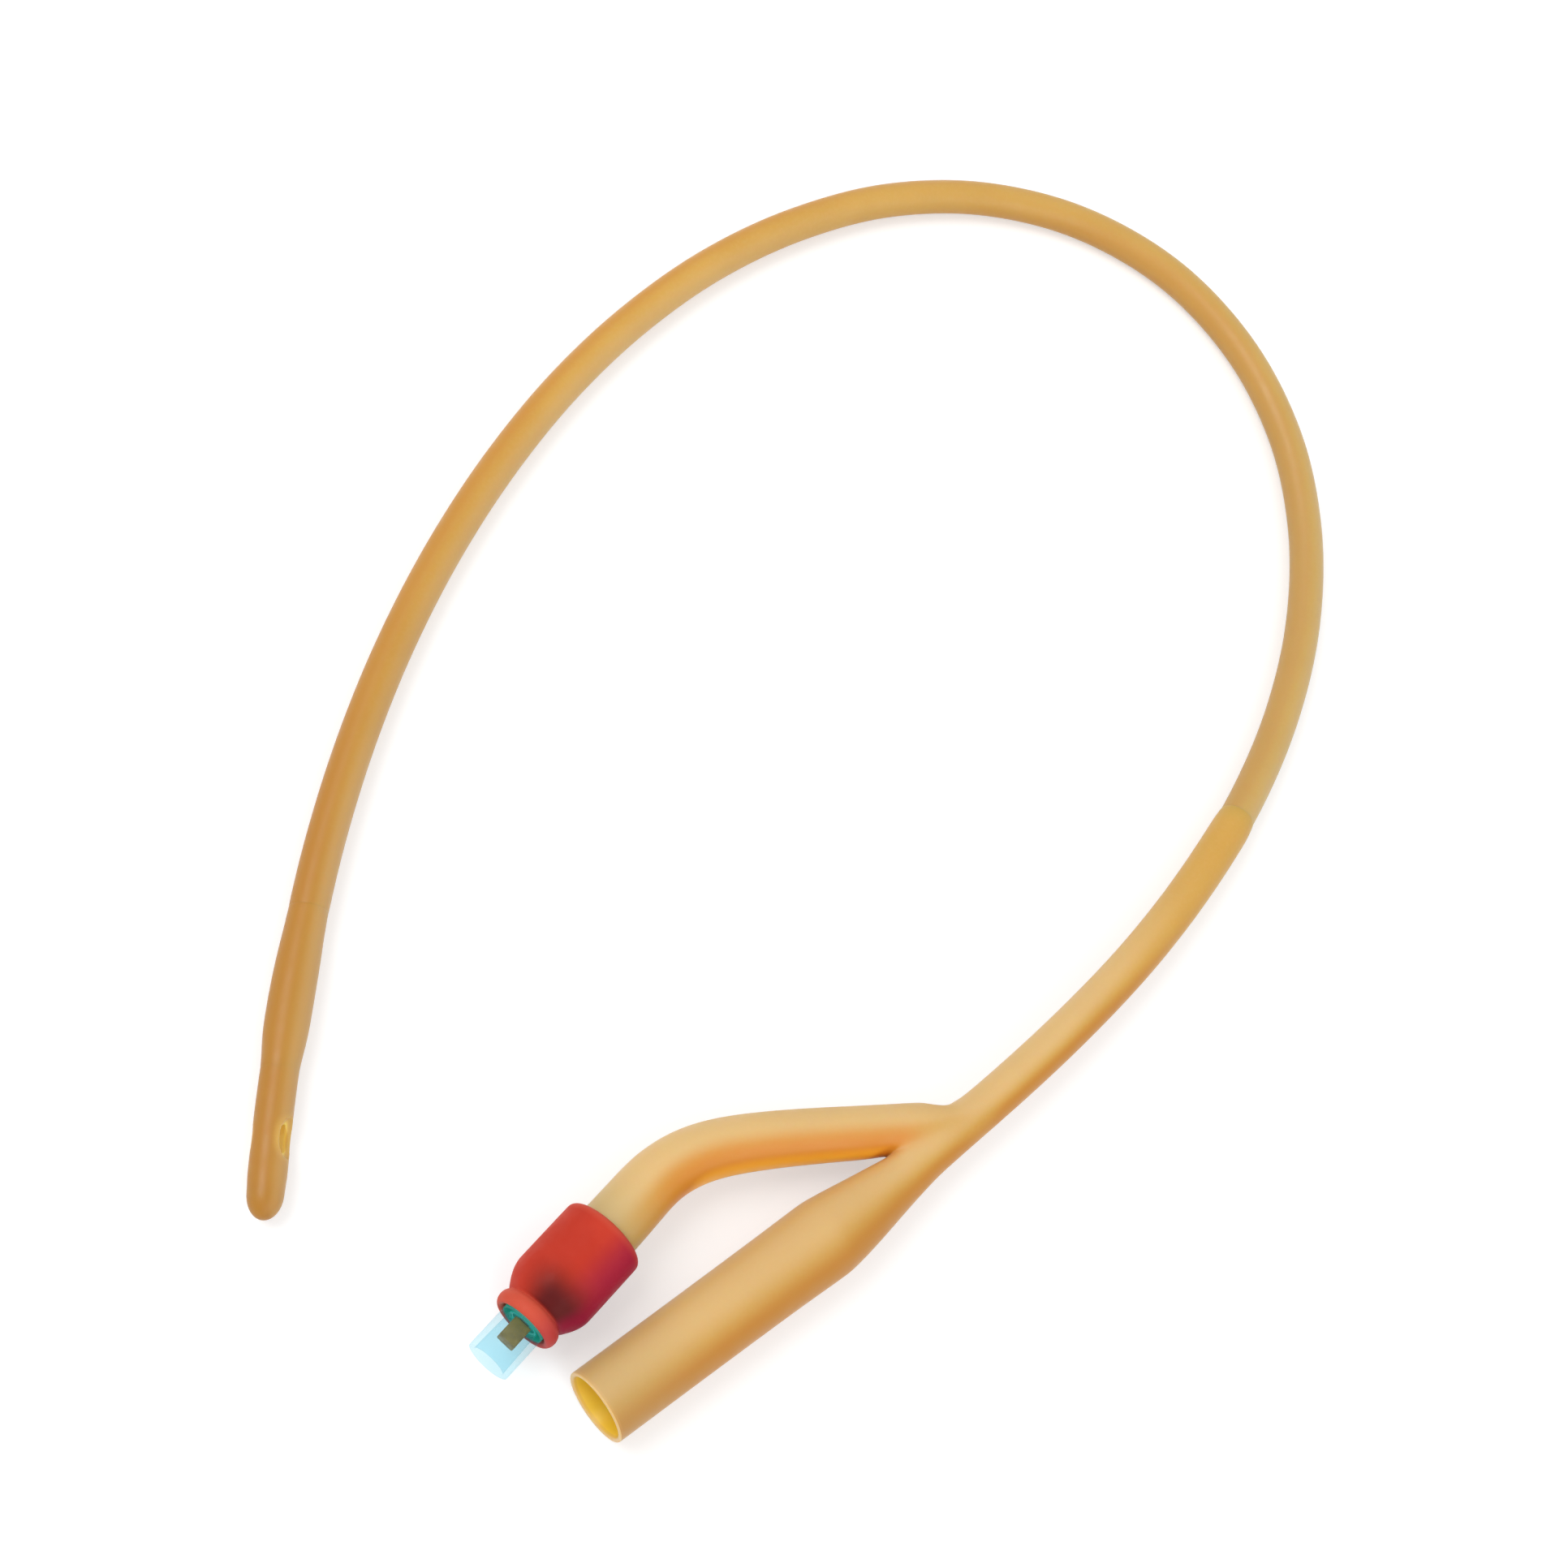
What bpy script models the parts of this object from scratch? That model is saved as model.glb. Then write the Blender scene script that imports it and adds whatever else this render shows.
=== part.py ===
"""Two-way balloon urinary catheter, 14 French, lying in one open loop.

The drainage funnel points along -Y and everything rests on z = 0. Sizes are in metres.
"""

import math

import bmesh
import bpy
from mathutils import Matrix, Vector

# Double-lumen shaft
SHAFT_DIAMETER = 0.0047
DRAIN_WALL = 0.0006
SEPTUM = 0.00025
INFLATION_LUMEN_DIAMETER = 0.0007
INFLATION_WALL = 0.00045

# Closed tip with two opposite eyes
TIP_DIAMETER = 0.0044
TIP_LENGTH = 0.0178
NOSE_LENGTH = 0.0030
TIP_END_WALL = 0.0042
TIP_BORE_CHAMFER = 0.0005
EYE_SETBACK = 0.0092
EYE_LENGTH = 0.0042
EYE_WIDTH = 0.0023
EYE_TURN = math.radians(58)

# Relaxed balloon and its seat on the shaft; its front edge laps over the joint with the tip
BALLOON_LAP = 0.0010
BALLOON_LENGTH = 0.0205
BALLOON_DIAMETER = 0.00525
BALLOON_EDGE_WALL = 0.0001
BALLOON_SEAT_DEPTH = 0.00015
BALLOON_PORT_DIAMETER = 0.0006
BALLOON_PORT_SHARE = 0.55

# Neck, funnel and junction of the connector, measured from the funnel's mouth
MOUTH_DIAMETER = 0.0092
SHOULDER_DIAMETER = 0.0098
DRAIN_BORE_DIAMETER = 0.0063
BORE_EASE_LENGTH = 0.002
RIM_ROUND = 0.0002
FUNNEL_LENGTH = 0.034
CONE_LENGTH = 0.0155
JUNCTION_LENGTH = 0.0097
NECK_LENGTH = 0.0588
NECK_WALL = 0.00021
NECK_EDGE_LENGTH = 0.0014
SHAFT_INSERTION = 0.0025
LUMEN_RUN_ON = 0.0015
CROTCH_DEPTH = 0.0029
ARM_LENGTHENING = 1.1

# Inflation arm: its centreline is given from the start of the junction, right and along +Y
ARM_ROOT_DIAMETER = 0.0064
ARM_END_DIAMETER = 0.0075
ARM_BORE_DIAMETER = 0.0017
ARM_BORE_JOIN = 0.0092
ARM_BORE_FLARE = 0.0069
ARM_BORE_WIDENING = 0.0184
ARM_BEND_POINTS = [
    (0.0, 0.0),
    (0.0, -0.0028),
    (-0.0018, -0.0062),
    (-0.0052, -0.0121),
    (-0.0092, -0.0191),
    (-0.0127, -0.0257),
    (-0.0152, -0.0317),
    (-0.0159, -0.0367),
]
INLET_OFFSET = (-0.00985, -0.0661)
INLET_ANGLE = math.radians(11.75)
ARM_STRAIGHT = 0.0036

# Red cuff on the end of the arm
CUFF_DIAMETER = 0.0105
CUFF_LENGTH = 0.0143
CUFF_EDGE_ROUND = 0.0008
CUFF_NECK_DIAMETER = 0.0079
CUFF_NECK_LENGTH = 0.0054
CUFF_SHOULDER_LENGTH = 0.0032
BEAD_DIAMETER = 0.0083
BEAD_LENGTH = 0.0021

# Valve housing, measured inwards from its inlet rim
HOUSING_DIAMETER = 0.0056
HOUSING_PROTRUSION = 0.0055
HOUSING_RIM_ROUND = 0.0002
HOUSING_FLANGE_DIAMETER = 0.0068
HOUSING_FLANGE_THICKNESS = 0.001
TAIL_DIAMETER = 0.0049
TAIL_LENGTH = 0.0045
BARB_HEIGHT = 0.00015
BARB_LENGTH = 0.0011
BARB_COUNT = 2
SOCKET_MOUTH_DIAMETER = 0.0043
SOCKET_TAPER = 0.06
SOCKET_DEPTH = 0.0058
SEAT_THICKNESS = 0.0008
CHAMBER_DIAMETER = 0.0041

# Valve plunger, its washer, spring and retainer
HEAD_WIDTH = 0.0023
HEAD_ROUND = 0.00035
HEAD_PLACE = 0.0029
HEAD_LENGTH = 0.0027
HEAD_CLEARANCE = 0.0001
STEM_DIAMETER = 0.0015
PLUNGER_FLANGE_DIAMETER = 0.0034
PLUNGER_FLANGE_THICKNESS = 0.00055
GUIDE_PIN_DIAMETER = 0.0013
GUIDE_PIN_LENGTH = 0.0025
SEAL_THICKNESS = 0.00055
SEAL_CLEARANCE = 0.00007
SPRING_DIAMETER = 0.0026
SPRING_WIRE = 0.0003
SPRING_TURNS = 5.5
RETAINER_THICKNESS = 0.0012
RETAINER_HOLE_DIAMETER = 0.0009
RETAINER_HOLES = 3
RETAINER_HOLE_RING = 0.5

# Clearances and facets
SEAT_GAP = 0.00004
CUT_OVERRUN = 0.0012
SHAFT_SIDES = 20
BORE_SIDES = 20
LUMEN_SIDES = 12
FINE_LUMEN_SIDES = 8
TURNED_SIDES = 26
SMALL_TURNED_SIDES = 20
SPRING_SIDES_PER_TURN = 10
HEAD_ROUND_SEGMENTS = 3
SHAFT_STEP = 0.0068
NECK_STEP = 0.0083
ARM_STEP = 0.0038
ARM_BORE_STEP = 0.0045
SHARP_EDGE = math.radians(40)

# Centreline of the tube on the table, from the tip round the loop to the funnel's mouth
ROUTE = [
    (0.01825, -0.09360),
    (0.00650, -0.08395),
    (-0.00460, -0.07385),
    (-0.01510, -0.06325),
    (-0.02480, -0.05185),
    (-0.03360, -0.03965),
    (-0.04130, -0.02685),
    (-0.04790, -0.01335),
    (-0.05320, 0.00065),
    (-0.05690, 0.01515),
    (-0.05880, 0.03005),
    (-0.05840, 0.04495),
    (-0.05540, 0.05965),
    (-0.04890, 0.07305),
    (-0.03870, 0.08395),
    (-0.02540, 0.09065),
    (-0.01060, 0.09195),
    (0.00390, 0.08825),
    (0.01670, 0.08055),
    (0.02750, 0.07015),
    (0.03620, 0.05795),
    (0.04290, 0.04455),
    (0.04780, 0.03045),
    (0.05140, 0.01585),
    (0.05370, 0.00105),
    (0.05510, -0.01335),
    (0.05570, -0.02285),
    (0.05620, -0.03035),
    (0.05645, -0.03735),
    (0.05645, -0.05035),
    (0.05645, -0.07570),
]
TIP_REST_LENGTH = 0.045
TIP_EASE_LENGTH = 0.05
NECK_RISE_LENGTH = 0.082

# Outlines as shares: of the length first, then of the change in radius
BALLOON_FRONT = [(0.08, 0.22), (0.18, 0.70), (0.30, 0.97), (0.42, 1.0)]
BALLOON_BACK = [(0.60, 0.90), (0.76, 0.52), (0.90, 0.14)]
CONE_OUTLINE = [(0.0, 1.0), (0.26, 0.77), (0.52, 0.47), (0.77, 0.195), (1.0, 0.05)]
FUNNEL_OUTLINE = [(0.97, 1.0), (0.90, 0.80), (0.76, 0.45), (0.42, 0.15), (0.08, 0.0)]
CONE_RINGS = (0.69, 0.45, 0.24, 0.08)
JUNCTION_RINGS = (0.28, 0.53, 0.78, 1.0)
LUMEN_EASE = 0.6
LUMEN_FLARE = 0.08
THROAT_OUTLINE = [(0.0, 0.17), (0.35, 0.42), (0.70, 0.78), (1.0, 0.97)]
CUFF_SWELL = 1.3
BEAD_HOLLOW = 0.45
BEAD_RUN_OUT = 0.3
BARB_SETBACK = 0.8

# Sizes that follow from those above
SHAFT_RADIUS = SHAFT_DIAMETER / 2
DRAIN_LUMEN_DIAMETER = SHAFT_DIAMETER - DRAIN_WALL - SEPTUM - INFLATION_LUMEN_DIAMETER - INFLATION_WALL
DRAIN_LUMEN_ASIDE = DRAIN_WALL + DRAIN_LUMEN_DIAMETER / 2 - SHAFT_RADIUS
INFLATION_LUMEN_ASIDE = SHAFT_RADIUS - INFLATION_WALL - INFLATION_LUMEN_DIAMETER / 2
BALLOON_SEAT_RADIUS = SHAFT_RADIUS - BALLOON_SEAT_DEPTH
BALLOON_BORE_RADIUS = max(BALLOON_SEAT_RADIUS, TIP_DIAMETER / 2) + SEAT_GAP
BALLOON_START = TIP_LENGTH - BALLOON_LAP
BALLOON_END = BALLOON_START + BALLOON_LENGTH
NECK_RADIUS = SHAFT_RADIUS + SEAT_GAP + NECK_WALL
CROTCH_STATION = FUNNEL_LENGTH + CONE_LENGTH
JUNCTION_STATION = CROTCH_STATION + JUNCTION_LENGTH
ARM_END_PLACE = HOUSING_PROTRUSION + CUFF_NECK_LENGTH
CUFF_END_PLACE = HOUSING_PROTRUSION + CUFF_LENGTH
CHAMBER_PLACE = SOCKET_DEPTH + SEAT_THICKNESS
TAIL_END_PLACE = ARM_END_PLACE + TAIL_LENGTH
HEAD_CORNER_RADIUS = (HEAD_WIDTH / 2 - HEAD_ROUND) * math.sqrt(2) + HEAD_ROUND
SEAT_HOLE_RADIUS = HEAD_CORNER_RADIUS + HEAD_CLEARANCE
SEAL_PLACE = CHAMBER_PLACE + SEAT_GAP
PLUNGER_FLANGE_PLACE = SEAL_PLACE + SEAL_THICKNESS + SEAT_GAP
GUIDE_PIN_PLACE = PLUNGER_FLANGE_PLACE + PLUNGER_FLANGE_THICKNESS
RETAINER_PLACE = TAIL_END_PLACE - RETAINER_THICKNESS


def clear_scene():
    for thing in list(bpy.data.objects):
        bpy.data.objects.remove(thing, do_unlink=True)


def ease(share):
    """Smooth step from 0 to 1."""
    share = min(max(share, 0.0), 1.0)
    return share * share * (3 - 2 * share)


def between(low, high, share):
    return low + (high - low) * share


class Path:
    """A smooth line through a few points, read by the distance travelled along it."""

    SAMPLES_PER_SPAN = 24

    def __init__(self, points, height=None):
        knots = [Vector((*point, 0.0)) if len(point) == 2 else Vector(point) for point in points]
        self.points = self.smooth(knots)
        self.measure()
        if height is not None:
            for point, travelled in zip(self.points, self.travelled):
                point.z = height(travelled, self.length)
            self.measure()

    def smooth(self, knots):
        spans = [(b - a).length for a, b in zip(knots, knots[1:])]
        slopes = [(b - a) / span for a, b, span in zip(knots, knots[1:], spans)]
        headings = [slopes[0]]
        for before, after, slope_in, slope_out in zip(spans, spans[1:], slopes, slopes[1:]):
            headings.append((slope_in * after + slope_out * before) / (before + after))
        headings.append(slopes[-1])
        points = []
        for index, span in enumerate(spans):
            for step in range(self.SAMPLES_PER_SPAN):
                t = step / self.SAMPLES_PER_SPAN
                points.append(
                    knots[index] * (2 * t**3 - 3 * t**2 + 1)
                    + knots[index + 1] * (3 * t**2 - 2 * t**3)
                    + headings[index] * span * (t**3 - 2 * t**2 + t)
                    + headings[index + 1] * span * (t**3 - t**2)
                )
        points.append(knots[-1].copy())
        return points

    def measure(self):
        self.travelled = [0.0]
        for a, b in zip(self.points, self.points[1:]):
            self.travelled.append(self.travelled[-1] + (b - a).length)
        self.length = self.travelled[-1]

    def at(self, place):
        """The point at this distance; past either end the path runs on straight."""
        if place <= 0:
            return self.points[0] + (self.points[1] - self.points[0]).normalized() * place
        if place >= self.length:
            end = (self.points[-1] - self.points[-2]).normalized()
            return self.points[-1] + end * (place - self.length)
        low, high = 0, len(self.travelled) - 1
        while high - low > 1:
            middle = (low + high) // 2
            if self.travelled[middle] > place:
                high = middle
            else:
                low = middle
        share = (place - self.travelled[low]) / (self.travelled[high] - self.travelled[low])
        return self.points[low].lerp(self.points[high], share)

    def frame(self, place):
        """Centre, direction to the loop's inside, upward direction, and heading."""
        reach = 0.0004
        heading = (self.at(place + reach) - self.at(place - reach)).normalized()
        aside = heading.cross(Vector((0, 0, 1))).normalized()
        return self.at(place), aside, aside.cross(heading), heading


def tube_height(travelled, length):
    """Height of the tube's axis when it lies on the table: balloon, shaft and funnel touch it."""
    off_balloon = ease((travelled - TIP_REST_LENGTH) / TIP_EASE_LENGTH)
    resting = between(BALLOON_DIAMETER / 2, SHAFT_RADIUS, off_balloon)
    junction = length - JUNCTION_STATION
    rise = ease((travelled - (junction - NECK_RISE_LENGTH)) / NECK_RISE_LENGTH)
    return between(resting, SHOULDER_DIAMETER / 2, rise)


def material(name, colour, roughness, alpha=1.0, metallic=0.0):
    made = bpy.data.materials.new(name)
    made.use_nodes = True
    surface = made.node_tree.nodes["Principled BSDF"]
    surface.inputs["Base Color"].default_value = (*colour, 1)
    surface.inputs["Roughness"].default_value = roughness
    surface.inputs["Metallic"].default_value = metallic
    surface.inputs["Alpha"].default_value = alpha
    made.diffuse_color = (*colour, alpha)
    return made


def add_object(name, mesh_builder, surface, parent=None):
    """Closes a bmesh into a named, smooth-shaded object."""
    bmesh.ops.recalc_face_normals(mesh_builder, faces=mesh_builder.faces)
    mesh = bpy.data.meshes.new(name)
    mesh_builder.to_mesh(mesh)
    mesh_builder.free()
    mesh.shade_smooth()
    mesh.set_sharp_from_angle(angle=SHARP_EDGE)
    thing = bpy.data.objects.new(name, mesh)
    bpy.context.scene.collection.objects.link(thing)
    thing.parent = parent
    if surface is not None:
        mesh.materials.append(surface)
    return thing


def cut(target, cutter):
    """Takes the cutter's shape out of the target."""
    cutter.hide_render = True
    cutter.display_type = "WIRE"
    boolean = target.modifiers.new(cutter.name, "BOOLEAN")
    boolean.operation = "DIFFERENCE"
    boolean.solver = "EXACT"
    boolean.object = cutter


def bridge(mesh_builder, first, second):
    """Faces between two rings of vertices; a ring of one vertex is a pole."""
    count = max(len(first), len(second))
    for index in range(count):
        after = (index + 1) % count
        if len(first) == 1:
            corners = (first[0], second[index], second[after])
        elif len(second) == 1:
            corners = (first[index], first[after], second[0])
        else:
            corners = (first[index], first[after], second[after], second[index])
        mesh_builder.faces.new(corners)


def swept(name, path, stations, sides, surface=None):
    """A round bar along a path. A station is a place, a radius and an offset to the side."""
    mesh_builder = bmesh.new()
    rings = []
    for place, radius, offset in stations:
        centre, aside, up, _ = path.frame(place)
        centre = centre + aside * offset
        if radius == 0:
            rings.append([mesh_builder.verts.new(centre)])
            continue
        ring = []
        for side in range(sides):
            turn = 2 * math.pi * side / sides
            spot = centre + (aside * math.cos(turn) + up * math.sin(turn)) * radius
            ring.append(mesh_builder.verts.new(spot))
        rings.append(ring)
    for first, second in zip(rings, rings[1:]):
        bridge(mesh_builder, first, second)
    for ring in (rings[0], rings[-1]):
        if len(ring) > 1:
            mesh_builder.faces.new(ring)
    return add_object(name, mesh_builder, surface)


def turned(name, profile, surface=None, parent=None, sides=TURNED_SIDES):
    """A turned piece about the parent's Z axis from a closed outline of (place, radius)."""
    mesh_builder = bmesh.new()
    spots = [mesh_builder.verts.new((radius, 0, place)) for place, radius in profile]
    edges = [mesh_builder.edges.new(pair) for pair in zip(spots, spots[1:] + spots[:1])]
    bmesh.ops.spin(
        mesh_builder,
        geom=spots + edges,
        cent=(0, 0, 0),
        axis=(0, 0, 1),
        angle=2 * math.pi,
        steps=sides,
        use_merge=True,
    )
    bmesh.ops.remove_doubles(mesh_builder, verts=mesh_builder.verts, dist=1e-7)
    bmesh.ops.dissolve_degenerate(mesh_builder, edges=mesh_builder.edges, dist=1e-7)
    return add_object(name, mesh_builder, surface, parent)


def even_places(start, end, step):
    """Places from start to end, no further apart than the step."""
    count = max(1, math.ceil((end - start) / step))
    return [between(start, end, index / count) for index in range(count + 1)]


def make_tip(route, surface):
    """Closed rounded end with a blind drainage bore and two opposite eyes."""
    radius = TIP_DIAMETER / 2
    stations = [(0.0, 0.0, 0.0)]
    for degrees in (16, 34, 52, 71, 90):
        turn = math.radians(degrees)
        stations.append((NOSE_LENGTH * (1 - math.cos(turn)), radius * math.sin(turn), 0.0))
    for place in even_places(NOSE_LENGTH, TIP_LENGTH, SHAFT_STEP)[1:]:
        stations.append((place, radius, 0.0))
    tip = swept("tip", route, stations, SHAFT_SIDES, surface)

    lumen = DRAIN_LUMEN_DIAMETER / 2
    centred = EYE_SETBACK + EYE_LENGTH / 2
    bore = [
        (TIP_END_WALL, lumen - TIP_BORE_CHAMFER, 0.0),
        (TIP_END_WALL + TIP_BORE_CHAMFER, lumen, 0.0),
        (centred, lumen, 0.0),
        (TIP_LENGTH, lumen, DRAIN_LUMEN_ASIDE),
        (TIP_LENGTH + CUT_OVERRUN, lumen, DRAIN_LUMEN_ASIDE),
    ]
    cut(tip, swept("tip_bore", route, bore, LUMEN_SIDES))
    cut(tip, make_eye_cutter(route))
    return tip


def make_eye_cutter(route):
    """An oval bar through both walls of the tip."""
    centre, aside, up, heading = route.frame(EYE_SETBACK)
    through = up * math.cos(EYE_TURN) + aside * math.sin(EYE_TURN)
    across = through.cross(heading)
    reach = TIP_DIAMETER / 2 + CUT_OVERRUN
    mesh_builder = bmesh.new()
    rings = []
    for depth in (-reach, reach):
        ring = []
        for side in range(SHAFT_SIDES):
            turn = 2 * math.pi * side / SHAFT_SIDES
            along = heading * (EYE_LENGTH / 2 * math.cos(turn))
            wide = across * (EYE_WIDTH / 2 * math.sin(turn))
            ring.append(mesh_builder.verts.new(centre + through * depth + along + wide))
        rings.append(ring)
        mesh_builder.faces.new(ring)
    bridge(mesh_builder, *rings)
    return add_object("eye_cutter", mesh_builder, None)


def full_shaft_places(route):
    """Places of the shaft's rings from the balloon to its end in the connector."""
    end = route.length - JUNCTION_STATION + SHAFT_INSERTION
    return even_places(BALLOON_END + SEAT_GAP + BALLOON_SEAT_DEPTH, end, SHAFT_STEP)


def make_shaft(route, surface):
    """Double-lumen tube with a turned-down seat and a port under the balloon."""
    start = TIP_LENGTH + SEAT_GAP
    seat_places = even_places(start, BALLOON_END + SEAT_GAP, SHAFT_STEP)
    full_places = full_shaft_places(route)
    stations = [(place, BALLOON_SEAT_RADIUS, 0.0) for place in seat_places]
    stations += [(place, SHAFT_RADIUS, 0.0) for place in full_places]
    shaft = swept("shaft", route, stations, SHAFT_SIDES, surface)

    lumen_places = [start - CUT_OVERRUN]
    lumen_places += seat_places[1:] + full_places[:-1]
    lumen_places += [full_places[-1] + CUT_OVERRUN]
    drain = [(place, DRAIN_LUMEN_DIAMETER / 2, DRAIN_LUMEN_ASIDE) for place in lumen_places]
    cut(shaft, swept("drain_lumen", route, drain, LUMEN_SIDES))

    port = BALLOON_START + BALLOON_LENGTH * BALLOON_PORT_SHARE
    fine_places = [port - BALLOON_PORT_DIAMETER]
    fine_places += [place for place in lumen_places if place > port]
    fine = [(place, INFLATION_LUMEN_DIAMETER / 2, INFLATION_LUMEN_ASIDE) for place in fine_places]
    cut(shaft, swept("inflation_lumen", route, fine, FINE_LUMEN_SIDES))

    centre, aside, _, _ = route.frame(port)
    across = Path([centre + aside * INFLATION_LUMEN_ASIDE, centre + aside * (SHAFT_RADIUS + CUT_OVERRUN)])
    radius = BALLOON_PORT_DIAMETER / 2
    cut(shaft, swept("balloon_port", across, [(0, radius, 0), (across.length, radius, 0)], FINE_LUMEN_SIDES))
    return shaft


def make_balloon(route, surface):
    """Relaxed sleeve: its thin edges are bonded down and its middle stands slightly proud."""
    tip_edge = BALLOON_BORE_RADIUS + BALLOON_EDGE_WALL
    shaft_edge = max(SHAFT_RADIUS, tip_edge)
    full = BALLOON_DIAMETER / 2
    outline = [(0.0, tip_edge)]
    outline += [(share, between(tip_edge, full, part)) for share, part in BALLOON_FRONT]
    outline += [(share, between(shaft_edge, full, part)) for share, part in BALLOON_BACK]
    outline.append((1.0, shaft_edge))
    stations = [(BALLOON_START + BALLOON_LENGTH * share, radius, 0.0) for share, radius in outline]
    balloon = swept("balloon", route, stations, SHAFT_SIDES, surface)
    bore_places = [BALLOON_START - CUT_OVERRUN] + [place for place, _, _ in stations[1:-1]]
    bore_places += [BALLOON_END + CUT_OVERRUN]
    bore = [(place, BALLOON_BORE_RADIUS, 0.0) for place in bore_places]
    cut(balloon, swept("balloon_bore", route, bore, SHAFT_SIDES))
    return balloon


def arc_of_ring(frame, outward, radius, fan, steps):
    """Points of a circle from +fan to -fan about its outward side, sized so that smoothing meets it."""
    centre, aside, up, _ = frame
    sideways = aside * outward
    size = radius / math.cos(fan / steps)
    points = []
    for step in range(steps + 1):
        turn = between(fan, -fan, step / steps)
        points.append(centre + (sideways * math.cos(turn) + up * math.sin(turn)) * size)
    return points


class ConnectorCage:
    """Coarse cage of the Y connector. Neck rings have 16 points and each leg's rings have 12."""

    HALF_STEPS = 8
    LEG_FAN = math.radians(120)
    VALLEY_FILL = 0.35
    ARM_HASTE = 1.25
    SADDLE_ANGLE = math.radians(30)
    SADDLE_SWEEP = 0.4
    ARM_SADDLE_SHARE = 0.45
    ARM_START_SHARE = 1.4
    NECK_EDGE_SHARE = 0.4

    def __init__(self, route, arm):
        self.route = route
        self.arm = arm
        self.builder = bmesh.new()

    def ring(self, points):
        return [self.builder.verts.new(point) for point in points]

    def drain_frame(self, station):
        """The frame at this distance from the mouth."""
        return self.route.frame(self.route.length - station)

    def neck_ring(self, station, radius):
        frame = self.drain_frame(station)
        quarter = math.radians(90)
        right = arc_of_ring(frame, -1, radius, quarter, self.HALF_STEPS)
        left = arc_of_ring(frame, 1, radius, quarter, self.HALF_STEPS)
        return self.ring(right + left[-2:0:-1])

    def junction_ring(self, share):
        """Neck circle at share 0, opening into two joined circles at share 1."""
        drain_radius = between(NECK_RADIUS, self.cone_radius(CROTCH_STATION), share)
        arm_radius = between(NECK_RADIUS, ARM_ROOT_DIAMETER / 2, ease(share * self.ARM_HASTE))
        drain = self.drain_frame(JUNCTION_STATION - JUNCTION_LENGTH * share)
        arm = self.arm.frame(self.arm_root_place() * share)
        half_apart = (arm[0] - drain[0]).length / 2
        mean = (drain_radius + arm_radius) / 2
        crossing = math.sqrt(max(mean**2 - half_apart**2, 0.0))
        valley = between(crossing, mean, self.VALLEY_FILL)
        fan = math.pi / 2 + math.atan2(half_apart, valley)
        right = arc_of_ring(drain, -1, drain_radius, fan, self.HALF_STEPS)
        left = arc_of_ring(arm, 1, arm_radius, fan, self.HALF_STEPS)
        middle = (drain[0] + arm[0]) / 2
        right[0] = middle + drain[2] * valley
        right[-1] = middle - drain[2] * valley
        return self.ring(right + left[-2:0:-1])

    def arm_root_place(self):
        """How far along the arm the two legs part."""
        return JUNCTION_LENGTH * ARM_LENGTHENING

    def cone_radius(self, station):
        """Outer radius of the cone between the shoulder and the junction."""
        share = (station - FUNNEL_LENGTH) / CONE_LENGTH
        for (low, high_part), (high, low_part) in zip(CONE_OUTLINE, CONE_OUTLINE[1:]):
            if share <= high:
                part = between(high_part, low_part, (share - low) / (high - low))
                return between(NECK_RADIUS, SHOULDER_DIAMETER / 2, part)
        return NECK_RADIUS

    def leg_ring(self, frame, outward, radius):
        """A full circle: the outer arc of 9 points, then three on the crotch side, bottom to top."""
        outer = arc_of_ring(frame, outward, radius, self.LEG_FAN, self.HALF_STEPS)
        size = radius / math.cos(self.LEG_FAN / self.HALF_STEPS)
        centre, aside, up, _ = frame
        half_turn = math.radians(180)
        for turn in (self.SADDLE_ANGLE - half_turn, half_turn, half_turn - self.SADDLE_ANGLE):
            outer.append(centre + (aside * outward * math.cos(turn) + up * math.sin(turn)) * size)
        return self.ring(outer)

    def crotch_chain(self, drain_place, arm_place):
        """Three points of the saddle between the legs, top to bottom."""
        centre_a, aside_a, up_a, heading = self.drain_frame(drain_place)
        centre_b, aside_b, up_b, _ = self.arm.frame(arm_place)
        drain_radius = self.cone_radius(drain_place)
        arm_radius = ARM_ROOT_DIAMETER / 2
        chain = []
        for turn in (self.SADDLE_ANGLE, 0, -self.SADDLE_ANGLE):
            a = centre_a + (aside_a * math.cos(turn) + up_a * math.sin(turn)) * drain_radius
            b = centre_b + (-aside_b * math.cos(turn) + up_b * math.sin(turn)) * arm_radius
            spot = (a + b) / 2
            if turn:
                spot -= heading * CROTCH_DEPTH * self.SADDLE_SWEEP
            chain.append(self.builder.verts.new(spot))
        return chain

    def crease(self, ring):
        layer = self.builder.edges.layers.float.get("crease_edge")
        if layer is None:
            layer = self.builder.edges.layers.float.new("crease_edge")
        for first, second in zip(ring, ring[1:] + ring[:1]):
            self.builder.edges.get((first, second))[layer] = 1.0

    def close(self, ring):
        self.builder.faces.new(ring)

    def build(self, surface):
        neck_start = JUNCTION_STATION + NECK_LENGTH
        edge_radius = NECK_RADIUS - NECK_WALL * self.NECK_EDGE_SHARE
        neck = [self.neck_ring(neck_start, edge_radius)]
        for station in even_places(JUNCTION_STATION, neck_start - NECK_EDGE_LENGTH, NECK_STEP)[::-1]:
            neck.append(self.neck_ring(station, NECK_RADIUS))
        for share in JUNCTION_RINGS:
            neck.append(self.junction_ring(share))
        for first, second in zip(neck, neck[1:]):
            bridge(self.builder, first, second)

        fork = neck[-1]
        arm_saddle = self.arm_root_place() + CROTCH_DEPTH * self.ARM_SADDLE_SHARE
        chain = self.crotch_chain(CROTCH_STATION - CROTCH_DEPTH, arm_saddle)
        half = self.HALF_STEPS
        funnel = [fork[: half + 1] + chain[::-1]]
        arm = [[fork[0]] + fork[:half:-1] + [fork[half]] + chain[::-1]]

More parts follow.
